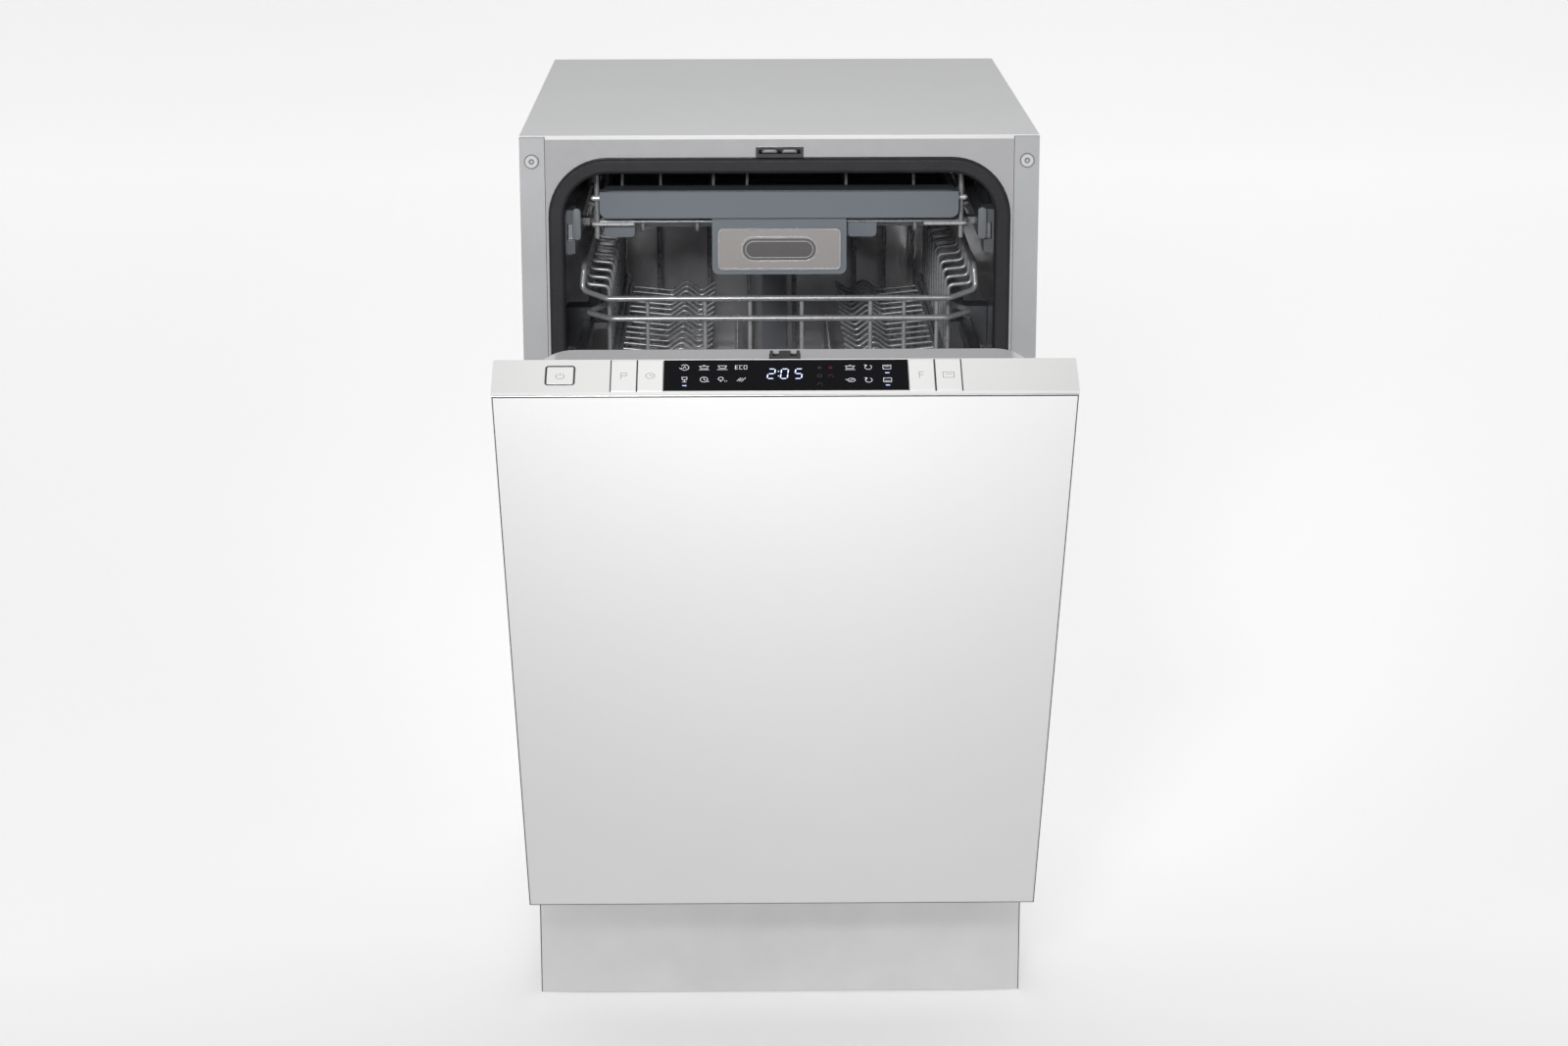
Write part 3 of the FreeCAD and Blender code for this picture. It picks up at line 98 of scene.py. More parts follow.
def look(
    name,
    colour,
    roughness,
    metallic=0.0,
    mottle=(18.0, 0.04),
    rough_change=0.05,
    bump=(900.0, 0.08, 0.0004),
    stretch=None,
    coat=0.0,
    specular=0.5,
    glow=None,
    worn=0.0,
):
    """A surface whose colour, roughness and fine relief all vary a little.

    mottle is the scale of the colour's clouds and how far they go from the colour, bump the
    grain's scale, strength and height in metres, glow a colour and its strength.
    """
    made = bpy.data.materials.new(name)
    made.use_nodes = True
    tree = made.node_tree
    shader = tree.nodes["Principled BSDF"]
    mix = tree.nodes.new("ShaderNodeMix")
    mix.data_type = "RGBA"
    dark = [c * (1 - mottle[1]) for c in colour]
    light = [min(1.0, c * (1 + mottle[1])) for c in colour]
    mix.inputs["A"].default_value = (*dark, 1)
    mix.inputs["B"].default_value = (*light, 1)
    cloud = noise(tree, mottle[0], CLOUD_DETAIL, stretch)
    tree.links.new(remapped(tree, cloud, 0, 1), mix.inputs["Factor"])
    shade = mix.outputs["Result"]
    if worn:
        # corners and raised edges rub a little lighter
        geometry = tree.nodes.new("ShaderNodeNewGeometry")
        edge = remapped(tree, geometry.outputs["Pointiness"], 0, worn, WORN_SPAN)
        rub = tree.nodes.new("ShaderNodeMix")
        rub.data_type = "RGBA"
        rub.inputs["B"].default_value = (*[min(1.0, c * 1.6 + 0.05) for c in colour], 1)
        tree.links.new(shade, rub.inputs["A"])
        tree.links.new(edge, rub.inputs["Factor"])
        shade = rub.outputs["Result"]
    tree.links.new(shade, shader.inputs["Base Color"])
    grain = noise(tree, bump[0], GRAIN_DETAIL, stretch)
    level = remapped(tree, grain, roughness - rough_change, roughness + rough_change)
    tree.links.new(level, shader.inputs["Roughness"])
    relief = tree.nodes.new("ShaderNodeBump")
    relief.inputs["Strength"].default_value = bump[1]
    relief.inputs["Distance"].default_value = bump[2]
    tree.links.new(grain, relief.inputs["Height"])
    tree.links.new(relief.outputs["Normal"], shader.inputs["Normal"])
    shader.inputs["Metallic"].default_value = metallic
    shader.inputs["Coat Weight"].default_value = coat
    shader.inputs["Coat Roughness"].default_value = COAT_ROUGHNESS
    shader.inputs["Specular IOR Level"].default_value = specular
    if glow:
        shader.inputs["Emission Color"].default_value = (*glow[:3], 1)
        shader.inputs["Emission Strength"].default_value = glow[3]
    return made


# grain drawn out along x
BRUSHED = (0.06, 1.0, 1.0)


def brushed_silver(name, colour):
    return look(name, colour, 0.33, 0.15, (10, 0.015), 0.04, (900, 0.05, 0.0002), BRUSHED)


LOOKS = {
    "cabinet_sheet": look(
        "coated_sheet", (0.66, 0.665, 0.67), 0.42, mottle=(7, 0.012), bump=(700, 0.05, 0.0003)
    ),
    "plinth_paint": look(
        "plinth_paint", (0.86, 0.86, 0.86), 0.38, coat=0.15, bump=(500, 0.06, 0.0003)
    ),
    "trim_grey": look(
        "trim_coating", (0.36, 0.363, 0.372), 0.36, 0.25, bump=(800, 0.05, 0.0003)
    ),
    "screw_cap": look("screw_cap", (0.46, 0.46, 0.46), 0.4, bump=(300, 0.1, 0.0004)),
    "tub_steel": look(
        "stainless_sheet", (0.62, 0.612, 0.625), 0.14, 0.72, (6, 0.02), 0.03, (120, 0.02, 0.0003)
    ),
    "strike_black": look("strike_black", (0.02, 0.02, 0.022), 0.4, 0.2),
    "gasket_rubber": look(
        "gasket_rubber",
        (0.010, 0.0095, 0.012),
        0.6,
        mottle=(60, 0.2),
        bump=(350, 0.2, 0.0005),
        specular=0.3,
    ),
    "base_plastic": look(
        "base_plastic", (0.045, 0.048, 0.052), 0.5, bump=(500, 0.3, 0.0006), worn=0.3
    ),
    "foot_plastic": look(
        "foot_plastic", (0.03, 0.03, 0.032), 0.5, bump=(400, 0.3, 0.0006), worn=0.4
    ),
    "pump_body": look("pump_body", (0.14, 0.145, 0.15), 0.45, bump=(400, 0.2, 0.0006), worn=0.3),
    "softener_plastic": look(
        "softener_plastic", (0.62, 0.62, 0.59), 0.45, bump=(300, 0.15, 0.0006)
    ),
    "cap_grey": look("cap_grey", (0.30, 0.32, 0.35), 0.42, bump=(420, 0.2, 0.0005), worn=0.2),
    "weight_iron": look(
        "weight_iron", (0.05, 0.048, 0.046), 0.7, 0.3, (30, 0.25), 0.1, (160, 0.6, 0.0015)
    ),
    "duct_plastic": look("duct_plastic", (0.16, 0.17, 0.185), 0.45, bump=(420, 0.2, 0.0005)),
    "arm_plastic": look(
        "arm_plastic", (0.12, 0.13, 0.15), 0.4, bump=(420, 0.2, 0.0005), worn=0.25
    ),
    "guide_plastic": look(
        "guide_plastic", (0.045, 0.048, 0.055), 0.42, bump=(420, 0.2, 0.0005), worn=0.25
    ),
    "slide_steel": look(
        "slide_steel", (0.25, 0.26, 0.27), 0.32, 0.9, (30, 0.08), 0.06, (500, 0.1, 0.0002)
    ),
    "basket_wire": look(
        "coated_wire",
        (0.235, 0.24, 0.25),
        0.3,
        0.35,
        (50, 0.10),
        0.06,
        (260, 0.12, 0.0004),
        coat=0.25,
    ),
    "feed_tube": look("feed_tube", (0.02, 0.02, 0.022), 0.38, bump=(300, 0.15, 0.0005)),
    "insert_plastic": look(
        "insert_plastic", (0.12, 0.15, 0.18), 0.45, bump=(500, 0.2, 0.0005), worn=0.2
    ),
    "handle_plastic": look(
        "handle_plastic",
        (0.108, 0.124, 0.142),
        0.36,
        mottle=(8, 0.03),
        rough_change=0.03,
        bump=(650, 0.06, 0.0003),
        coat=0.12,
    ),
    "nameplate_metal": look(
        "nameplate_metal",
        (0.25, 0.238, 0.232),
        0.42,
        0.6,
        (8, 0.012),
        0.02,
        (1500, 0.012, 0.0001),
        BRUSHED,
    ),
    "hinge_steel": look(
        "hinge_steel", (0.50, 0.50, 0.49), 0.35, 1.0, (40, 0.08), 0.08, (300, 0.15, 0.0003)
    ),
    "door_sheet": look("door_sheet", (0.62, 0.63, 0.64), 0.4, 0.6, bump=(500, 0.08, 0.0003)),
    "front_white": look(
        "white_lacquer",
        (0.79, 0.79, 0.795),
        0.34,
        mottle=(5, 0.008),
        rough_change=0.03,
        bump=(260, 0.03, 0.0003),
        coat=0.2,
    ),
    "door_plastic": look("door_plastic", (0.025, 0.025, 0.027), 0.45, bump=(400, 0.2, 0.0005)),
    "console_silver": brushed_silver("console_silver", (0.74, 0.735, 0.73)),
    "display_black": look(
        "display_black",
        (0.003, 0.003, 0.0045),
        0.22,
        mottle=(10, 0.1),
        rough_change=0.02,
        bump=(300, 0.01, 0.0002),
        specular=0.12,
    ),
    "board_green": look("board_green", (0.02, 0.12, 0.06), 0.4, bump=(200, 0.2, 0.0005)),
    "key_silver": brushed_silver("key_silver", (0.77, 0.765, 0.76)),
    "dispenser_grey": look(
        "dispenser_grey", (0.42, 0.43, 0.44), 0.4, bump=(420, 0.2, 0.0005), worn=0.2
    ),
}
# dark print, also used for painted shade in the gaps between the keys
INK_AND_GAP_SHADE = look("ink_dark_and_gap_shade", (0.035, 0.035, 0.04), 0.5, mottle=(80, 0.1))
INK_GREY = look("ink_grey", (0.30, 0.30, 0.31), 0.5, mottle=(80, 0.1))
WHITE_MARK = look("lit_white", (0.7, 0.7, 0.72), 0.4, glow=(0.80, 0.83, 1.0, 0.42))
BLUE_MARK = look("lit_blue", (0.5, 0.55, 0.9), 0.4, glow=(0.45, 0.55, 1.0, 0.9))
DIGIT_MARK = look("lit_digits", (0.6, 0.66, 1.0), 0.4, glow=(0.58, 0.66, 1.0, 1.25))
DIM_MARK = look("unlit_mark", (0.035, 0.035, 0.04), 0.4)
RED_MARK = look("unlit_red", (0.10, 0.006, 0.012), 0.4)
BRIGHT_STEEL = look("bright_steel", (0.72, 0.72, 0.72), 0.2, 1.0, bump=(300, 0.05, 0.0002))


SHARP_ANGLE = math.radians(35)


def dress(obj, material):
    """Gives an object one material and smooth faces between its sharp edges."""
    obj.data.materials.clear()
    obj.data.materials.append(material)
    obj.data.polygons.foreach_set("use_smooth", [True] * len(obj.data.polygons))
    obj.data.set_sharp_from_angle(angle=SHARP_ANGLE)


for entry in frame["record"]["subparts"]:
    dress(NODES[entry["node"]], LOOKS[entry["material_slot"]])


def piece(name, mesh_data, body, material):
    """Makes a mesh a piece of the object that moves with a body."""
    obj = bpy.data.objects.new(name, mesh_data)
    bpy.context.scene.collection.objects.link(obj)
    dress(obj, material)
    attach(obj, body)


def mesh_of(name, parts):
    """One mesh from (vertices, faces) pairs."""
    vertices, faces = [], []
    for part_vertices, part_faces in parts:
        start = len(vertices)
        vertices += [tuple(v) for v in part_vertices]
        faces += [tuple(start + i for i in face) for face in part_faces]
    data = bpy.data.meshes.new(name)
    data.from_pydata(vertices, [], faces)
    data.update()
    return data


# ---------------------------------------------------------------- camera and light

IMAGE_WIDTH = 1600
SENSOR_WIDTH = 36
FOCAL_LENGTH = 3281.1 / IMAGE_WIDTH * SENSOR_WIDTH
CAMERA_PLACE = (-0.0308, -2.8418, 1.2080)
YAW, PITCH, ROLL = math.radians(0.711), math.radians(14.990), math.radians(-0.067)


def set_up(name, data, place, ahead, roll=0.0):
    """A camera or lamp at a place, looking ahead along a direction."""
    obj = bpy.data.objects.new(name, data)
    bpy.context.scene.collection.objects.link(obj)
    obj.location = place
    obj.rotation_mode = "QUATERNION"
    turn = Matrix.Rotation(roll, 4, "Z").to_quaternion()
    obj.rotation_quaternion = ahead.to_track_quat("-Z", "Y") @ turn
    return obj


camera_data = bpy.data.cameras.new("view")
camera_data.sensor_width = SENSOR_WIDTH
camera_data.lens = FOCAL_LENGTH
level_reach = math.cos(PITCH)
view_line = Vector((math.sin(YAW) * level_reach, math.cos(YAW) * level_reach, -math.sin(PITCH)))
bpy.context.scene.camera = set_up("view", camera_data, CAMERA_PLACE, view_line, ROLL)

WORLD_STRENGTH = 0.37
world = bpy.data.worlds.new("studio")
world.use_nodes = True
world.node_tree.nodes["Background"].inputs["Color"].default_value = (1, 1, 1, 1)
world.node_tree.nodes["Background"].inputs["Strength"].default_value = WORLD_STRENGTH
bpy.context.scene.world = world
bpy.context.scene.view_settings.view_transform = "Standard"

# a soft box on each side: its name, x and power in watts
SOFT_BOXES = (("left", -2.2, 8), ("right", 2.2, 6))
SOFT_BOX_SIZE = (1.2, 1.8)
SOFT_BOX_AIM = Vector((0, 0, 0.5))
for name, x, power in SOFT_BOXES:
    box_data = bpy.data.lights.new(name, "AREA")
    box_data.shape = "RECTANGLE"
    box_data.size, box_data.size_y = SOFT_BOX_SIZE
    box_data.energy = power
    place = Vector((x, -1.4, 1.2))
    set_up(name, box_data, place, SOFT_BOX_AIM - place)

# a soft cone on the upper part of the front, which also reaches into the tub
CONE_PLACE = Vector((-0.25, -2.2, 1.42))
CONE_AIM = Vector((0, -0.3, 0.84))
cone_data = bpy.data.lights.new("front_cone", "SPOT")
cone_data.energy = 182
cone_data.shadow_soft_size = 0.2
cone_data.spot_size = math.radians(33)
cone_data.spot_blend = 1.0
set_up("front_cone", cone_data, CONE_PLACE, CONE_AIM - CONE_PLACE)

# a pale floor that curves up far behind the machine, so that no horizon shows
FLOOR_HALF_WIDTH, FLOOR_NEAR, CURVE_START, CURVE_RADIUS, BACKDROP_TOP = 14, -9.0, 5.0, 3.0, 12.0
CURVE_STEPS = 12
sweep = [(FLOOR_NEAR, 0.0), (CURVE_START, 0.0)]
for step in range(1, CURVE_STEPS + 1):
    turn = step * math.pi / (2 * CURVE_STEPS)
    rise = CURVE_RADIUS - CURVE_RADIUS * math.cos(turn)
    sweep.append((CURVE_START + CURVE_RADIUS * math.sin(turn), rise))
sweep.append((CURVE_START + CURVE_RADIUS, BACKDROP_TOP))
sweep_points = [(x, y, z) for y, z in sweep for x in (-FLOOR_HALF_WIDTH, FLOOR_HALF_WIDTH)]
sweep_faces = [(2 * i, 2 * i + 1, 2 * i + 3, 2 * i + 2) for i in range(len(sweep) - 1)]
floor = bpy.data.objects.new("floor", mesh_of("floor", [(sweep_points, sweep_faces)]))
bpy.context.scene.collection.objects.link(floor)
FLOOR = look(
    "floor",
    (0.9, 0.9, 0.9),
    0.7,
    mottle=(2, 0.005),
    rough_change=0.03,
    bump=(40, 0.02, 0.0005),
    glow=(1, 1, 1, 0.4),
)
# the floor glows less in front of the machine, so that the door is darker towards its bottom
GLOW_FRONT, GLOW_BACK = 0.08, 0.42
GLOW_Y_SPAN = (-1.6, 0.1)
floor_tree = FLOOR.node_tree
floor_place = floor_tree.nodes.new("ShaderNodeTexCoord")
floor_axes = floor_tree.nodes.new("ShaderNodeSeparateXYZ")
floor_tree.links.new(floor_place.outputs["Object"], floor_axes.inputs["Vector"])
floor_glow = remapped(floor_tree, floor_axes.outputs["Y"], GLOW_FRONT, GLOW_BACK, GLOW_Y_SPAN)
floor_shader = floor_tree.nodes["Principled BSDF"]
floor_tree.links.new(floor_glow, floor_shader.inputs["Emission Strength"])
dress(floor, FLOOR)

# ---------------------------------------------------------------- drawn symbols

# millimetres that print stands above its surface
PRINT_HEIGHT = 0.06
# the least cosine that a mitre divides by, so that sharp corners stay short
MITRE_LIMIT = 0.5


def ribbon(points, width, closed=False, height=PRINT_HEIGHT):
    """A flat mitred line through (x, y) points, standing up along z, in millimetres."""
    count = len(points)
    places = [Vector(p) for p in points]
    vertices = []
    for i, place in enumerate(places):
        before = places[i - 1] if closed or i else None
        after = places[(i + 1) % count] if closed or i < count - 1 else None
        entering = (place - before).normalized() if before is not None else None
        leaving = (after - place).normalized() if after is not None else None
        entering = entering or leaving
        leaving = leaving or entering
        along = (entering + leaving).normalized()
        across = Vector((-along.y, along.x))
        reach = width / 2 / max(MITRE_LIMIT, across.dot(Vector((-entering.y, entering.x))))
        for side in (1, -1):
            edge = place + across * reach * side
            vertices += [(edge.x, edge.y, 0.0), (edge.x, edge.y, height)]
    faces = []
    for i in range(count if closed else count - 1):
        a, b = 4 * i, 4 * ((i + 1) % count)
        faces += [(a + 1, a + 3, b + 3, b + 1), (a, a + 1, b + 1, b), (a + 2, b + 2, b + 3, a + 3)]
        faces.append((a, b, b + 2, a + 2))
    if not closed:
        last = 4 * (count - 1)
        faces += [(0, 2, 3, 1), (last, last + 1, last + 3, last + 2)]
    return vertices, faces


def arc(x, y, radius, start, end, steps, squeeze=1.0):
    """Points along an arc in degrees; squeeze shortens it along y."""
    turn = [math.radians(start + (end - start) * i / steps) for i in range(steps + 1)]
    return [(x + radius * math.cos(a), y + squeeze * radius * math.sin(a)) for a in turn]


RING_SIDES = 20


def ring(x, y, radius, squeeze=1.0):
    """Points round a circle, without the first one again at the end."""
    return arc(x, y, radius, 0, 360 - 360 / RING_SIDES, RING_SIDES - 1, squeeze)


def on_console(point):
    """Moves (x, depth, height) from the shut door's console to the door as it stands."""
    x, depth, height = point
    return DOOR @ Vector((x * MM, TUB_FRONT + depth * MM, CONSOLE_TOP + height * MM))


def marks(name, lines, body, slot, material, width):
    """A printed or lit symbol set. Each line is its points and whether it closes."""
    parts = []
    for points, closed in lines:
        vertices, faces = ribbon(points, width, closed)
        parts.append(([on_console(vertex) for vertex in vertices], faces))
    piece(name, mesh_of(name, parts), body, material)


def shifted(lines, x, y):
    return [([(x + px, y + py) for px, py in points], closed) for points, closed in lines]


def line(*points, closed=False):
    return [(list(points), closed)]


UNDERLINE = line((-1.6, 0), (1.6, 0))
LAMP = [(ring(0, 0, 1.7), True)]
RACK_BOX = line((-3, 2.3), (-3, -2.3), (3, -2.3), (3, 2.3), closed=True)
# symbols about 7 mm wide and 7 mm deep, about their middle
SYMBOLS = {
    "auto": [(arc(0, 0, 3.2, 200, 500, 18), False)]
    + line((-1.2, -1.5), (0, 1.7), (1.2, -1.5))
    + line((-4.1, -0.2), (-3.0, -1.6), (-1.8, -0.4)),
    "pot": line((-2.7, 1.4), (-2.7, -1.4), (2.7, -1.4), (2.7, 1.4), closed=True)
    + line((-3.9, 1.4), (3.9, 1.4))
    + line((-3.9, -2.8), (3.9, -2.8))
    + line((-0.9, 2.5), (0.9, 2.5)),
    "plate": line((-3.2, 1.8), (-2.1, -1.0), (2.1, -1.0), (3.2, 1.8))
    + line((-3.4, 1.8), (3.4, 1.8))
    + line((-3.9, -2.6), (3.9, -2.6)),
    "glass": line((-2.0, 2.8), (-1.6, -0.2), (1.6, -0.2), (2.0, 2.8), closed=True)
    + line((0, -0.2), (0, -2.7))
    + line((-1.6, -2.8), (1.6, -2.8)),
    "clock": [(ring(0, 0, 2.9), True)]
    + line((0, 1.9), (0, 0), (1.5, -0.9))
    + line((2.4, -2.6), (4.0, -2.6)),
    "drops": [(ring(-1.2, 0.8, 1.9), True)]
    + line((-1.2, -1.1), (-1.2, -2.8))
    + line((1.6, -2.4), (2.2, -1.4))
    + line((3.0, -2.4), (3.6, -1.4)),
    "strokes": line((-3.2, -1.8), (-0.4, 1.8))
    + line((-1.6, -2.2), (1.2, 1.4))
    + line((0.0, -2.6), (3.6, 2.2)),
    "loop": [(arc(0, 0, 2.6, 120, 420, 16), False)] + line((-3.2, 2.6), (-1.1, 2.4), (-1.9, 0.6)),
    "leaf": [(ring(0.8, 0, 2.9, 0.7), True)]
    + line((-3.8, 0.6), (-1.9, 0.3))
    + line((-1.0, -1.2), (2.4, 1.2)),
    "upper_rack": RACK_BOX + line((-2.0, 0.8), (2.0, 0.8)),
    "lower_rack": RACK_BOX + line((-2.0, -1.0), (2.0, -1.0)),
    "eco": line((-2.3, 2.1), (-4.4, 2.1), (-4.4, -2.1), (-2.3, -2.1))
    + line((-4.4, 0), (-2.7, 0))
    + line((0.9, 2.1), (-1.1, 2.1), (-1.1, -2.1), (0.9, -2.1))
    + line((2.2, 2.1), (2.2, -2.1), (4.4, -2.1), (4.4, 2.1), closed=True),
    "letter_p": line((-2.0, -3.4), (-2.0, 3.4), (2.0, 3.4), (2.0, 0.1), (-2.0, 0.1)),
    "letter_f": line((-1.7, -3.6), (-1.7, 3.6), (2.0, 3.6)) + line((-1.7, 0.2), (1.5, 0.2)),
    "power": [(arc(0, -0.3, 3.1, 125, 415, 18), False)] + line((0, 0.4), (0, 3.4)),
    "half_load": line((-4.2, 3.2), (-4.2, -3.2), (4.2, -3.2), (4.2, 3.2), closed=True)
    + line((-2.6, 0.6), (2.6, 0.6)),
    "delay": [([(x, y * 0.9) for x, y in ring(0, 0, 3.4)], True)]
    + line((0, 1.6), (0, 0), (2.2, 0)),
    "snow": line((-1.8, 0), (1.8, 0))
    + line((-0.9, -1.6), (0.9, 1.6))
    + line((-0.9, 1.6), (0.9, -1.6)),
    "tap": line((-2, -1.0), (-0.5, 1.2), (2, 1.2)) + line((1.0, -1.4), (2.4, -1.4)),
}

# x and depth of the window's symbols, in two rows on each side of the time
LEFT_COLUMNS, RIGHT_COLUMNS = (-76.7, -61.9, -47.9, -33.6), (49.5, 63.5, 77.8)
WINDOW_ROWS = (
    (LEFT_COLUMNS, -35.6, ("auto", "pot", "plate", "eco")),
    (LEFT_COLUMNS, -49.8, ("glass", "clock", "drops", "strokes")),
    (RIGHT_COLUMNS, -36.0, ("pot", "loop", "upper_rack")),
    (RIGHT_COLUMNS, -51.0, ("leaf", "loop", "lower_rack")),
)
DIM_COLUMN, RED_COLUMN = 26.2, 34.6
WINDOW = ("door", "display_black")
white = []
for columns, row, symbols in WINDOW_ROWS:
    for column, symbol in zip(columns, symbols):
        white += shifted(SYMBOLS[symbol], column, row)
marks("window_symbols", white, *WINDOW, WHITE_MARK, 0.32)

blue = shifted(UNDERLINE, LEFT_COLUMNS[0], -56.8)
blue += shifted(UNDERLINE, RIGHT_COLUMNS[-1], -42.6) + shifted(UNDERLINE, RIGHT_COLUMNS[-1], -57.0)
marks("window_underlines", blue, *WINDOW, BLUE_MARK, 0.8)

dim = shifted(SYMBOLS["snow"], DIM_COLUMN, -36.4) + shifted(LAMP, DIM_COLUMN, -46.0)
dim += shifted(SYMBOLS["tap"], DIM_COLUMN, -55.7)
marks("window_dim_symbols", dim, *WINDOW, DIM_MARK, 0.5)
red = shifted(SYMBOLS["snow"], RED_COLUMN, -36.4) + shifted(SYMBOLS["tap"], RED_COLUMN, -46.0)
marks("window_red_symbols", red, *WINDOW, RED_MARK, 0.5)

# seven-segment time: bars between the corners of each digit
CORNERS = {
    "a": (-2.6, 5.6),
    "b": (2.6, 5.6),
    "c": (-2.6, 0),
    "d": (2.6, 0),
    "e": (-2.6, -5.6),
    "f": (2.6, -5.6),
}
DIGITS = {
    "2": ("ab", "bd", "cd", "ce", "ef"),
    "0": ("ab", "bd", "df", "ef", "ce", "ac"),
    "5": ("ab", "ac", "cd", "df", "ef"),
}
BAR_INSET = 0.75
DIGIT_SLANT = 0.10
DIGIT_DEPTH = -43.3
time_bars = []
for digit, place in (("2", -10.6), ("0", -0.6), ("5", 10.2)):
    for start, end in DIGITS[digit]:
        low, high = Vector(CORNERS[start]), Vector(CORNERS[end])
        inset = (high - low).normalized() * BAR_INSET
        bar = [low + inset, high - inset]
        points = [(place + p.x + DIGIT_SLANT * p.y, DIGIT_DEPTH + p.y) for p in bar]
        time_bars.append((points, False))
for y in (-40.6, -46.0):
    time_bars += line((-5.6, y), (-4.6, y))
marks("window_digits", time_bars, *WINDOW, DIGIT_MARK, 0.75)

KEY_MIDDLE = -45.2
for name, key, symbol, x in (
    ("power_mark", "power_button", "power", -171.5),
    ("program_mark", "program_button", "letter_p", -123.0),
    ("function_mark", "function_button", "letter_f", 104.0),
    ("half_load_mark", "half_load_button", "half_load", 124.5),
    ("delay_mark", "delay_button", "delay", -102.8),
):
    marks(name, shifted(SYMBOLS[symbol], x, KEY_MIDDLE), key, "key_silver", INK_GREY, 0.6)


def outline(x, y, radius, steps=5):
    """Points round a rectangle with round corners."""
    corners = ((x[1], y[1], 0), (x[0], y[1], 90), (x[0], y[0], 180), (x[1], y[0], 270))
    points = []
    for cx, cy, start in corners:
        inner_x = cx - radius if cx == x[1] else cx + radius
        inner_y = cy - radius if cy == y[1] else cy + radius
        points += arc(inner_x, inner_y, radius, start, start + 90, steps)
    return points


power_frame = [(outline((-182.4, -160.6), (-55.3, -33.7), 2.2), True)]
marks("power_frame", power_frame, "door", "console_silver", INK_AND_GAP_SHADE, 1.3)
CONSOLE_FRONT, CONSOLE_BACK = -63.9, -26.6
# dark lines along the gaps between the keys: painted shade in the gaps
dividers = []
for x in (-133.0, -112.9, 114.3, 134.6):
    dividers += line((x, CONSOLE_FRONT), (x, CONSOLE_BACK))
marks("key_dividers", dividers, "door", "console_silver", INK_AND_GAP_SHADE, 0.9)

# ---------------------------------------------------------------- tubes and plates

# how far a bar's end stands out and how wide it is there, in radii
DOME_RISE, DOME_TOP = 0.7, 0.45


def tube(points, radius, sides=10):
    """A round bar along points in metres, with domed ends and bends carried without twist."""
    places = [Vector(p) for p in points]
    count = len(places)
    tangents = []
    for i in range(count):
        ahead_of = places[min(i + 1, count - 1)] - places[max(i - 1, 0)]
        tangents.append(ahead_of.normalized())
    normal = tangents[0].orthogonal().normalized()
    vertices, rings = [], []

    def add_ring(centre, across, tangent, reach):
        binormal = tangent.cross(across)
        rings.append(len(vertices))
        for k in range(sides):
            turn = 2 * math.pi * k / sides
            vertices.append(centre + reach * (math.cos(turn) * across + math.sin(turn) * binormal))

    for i, (place, tangent) in enumerate(zip(places, tangents)):
        normal = (normal - tangent * normal.dot(tangent)).normalized()
        if i == 0:
            add_ring(place - tangent * radius * DOME_RISE, normal, tangent, radius * DOME_TOP)
        add_ring(place, normal, tangent, radius)
        if i == count - 1:
            add_ring(place + tangent * radius * DOME_RISE, normal, tangent, radius * DOME_TOP)
    faces = []
    for low, high in zip(rings, rings[1:]):
        for k in range(sides):
            following = (k + 1) % sides
            faces.append((low + k, low + following, high + following, high + k))
    faces.append(tuple(reversed(range(rings[0], rings[0] + sides))))
    faces.append(tuple(range(rings[-1], rings[-1] + sides)))
    return vertices, faces


BEND_STEPS = 5
# the most of a straight run that one bend takes
BEND_SHARE = 0.45


def eased(points, radius):
    """A polyline in metres with its corners rounded."""
    places = [Vector(p) for p in points]
    out = [places[0]]
    for before, corner, after in zip(places, places[1:], places[2:]):
        shortest = min((corner - before).length, (after - corner).length)
        reach = min(radius, shortest * BEND_SHARE)
        start = corner + (before - corner).normalized() * reach
        end = corner + (after - corner).normalized() * reach
        for i in range(BEND_STEPS + 1):
            t = i / BEND_STEPS
            out.append(start * (1 - t) ** 2 + corner * 2 * t * (1 - t) + end * t * t)
    out.append(places[-1])
    return out


# radians between two faces from which an edge counts as a plate's rim
RIM_ANGLE = 0.9


def plate(name, outline_points, depth, thickness, body, material, bevel):
    """A plate that faces the front: its outline in (x, z) millimetres, its bevel in metres."""
    grown = bmesh.new()
    corners = [grown.verts.new(at(x, depth, z)) for x, z in outline_points]
    face = grown.faces.new(corners)
    made = bmesh.ops.extrude_face_region(grown, geom=[face])
    moved = [v for v in made["geom"] if isinstance(v, bmesh.types.BMVert)]
    bmesh.ops.translate(grown, verts=moved, vec=(0, thickness * MM, 0))
    bmesh.ops.recalc_face_normals(grown, faces=grown.faces)
    if bevel:
        joined = [e for e in grown.edges if len(e.link_faces) == 2]
        rims = [e for e in joined if e.calc_face_angle(0) > RIM_ANGLE]
        bmesh.ops.bevel(grown, geom=rims, offset=bevel, segments=3, profile=0.6, affect="EDGES")
    data = bpy.data.meshes.new(name)
    grown.to_mesh(data)
    grown.free()
    piece(name, data, body, material)


# ---------------------------------------------------------------- nameplate and handle

PLATE_LOW, PLATE_HIGH, PLATE_HALF, PLATE_DEPTH = 691, 728, 54, 35.0
RIM_INSET = 0.8
BADGE_MIDDLE = (PLATE_LOW + PLATE_HIGH) / 2


def facing(parts, depth):
    """Turns flat (x, z) parts to face the front, standing proud of a depth in millimetres."""
    return [([at(x, depth - z, y) for x, y, z in vertices], faces) for vertices, faces in parts]


def badge_oval(reach_x, reach_z):
    span_z = (BADGE_MIDDLE - reach_z, BADGE_MIDDLE + reach_z)
    return outline((-reach_x, reach_x), span_z, reach_z - 0.01, 8)


def raised_line(name, points, width, height):
    """A bright closed line that stands up from the blank nameplate."""
    parts = facing([ribbon(points, width, True, height)], PLATE_DEPTH)
    piece(name, mesh_of(name, parts), "cutlery_rack", BRIGHT_STEEL)


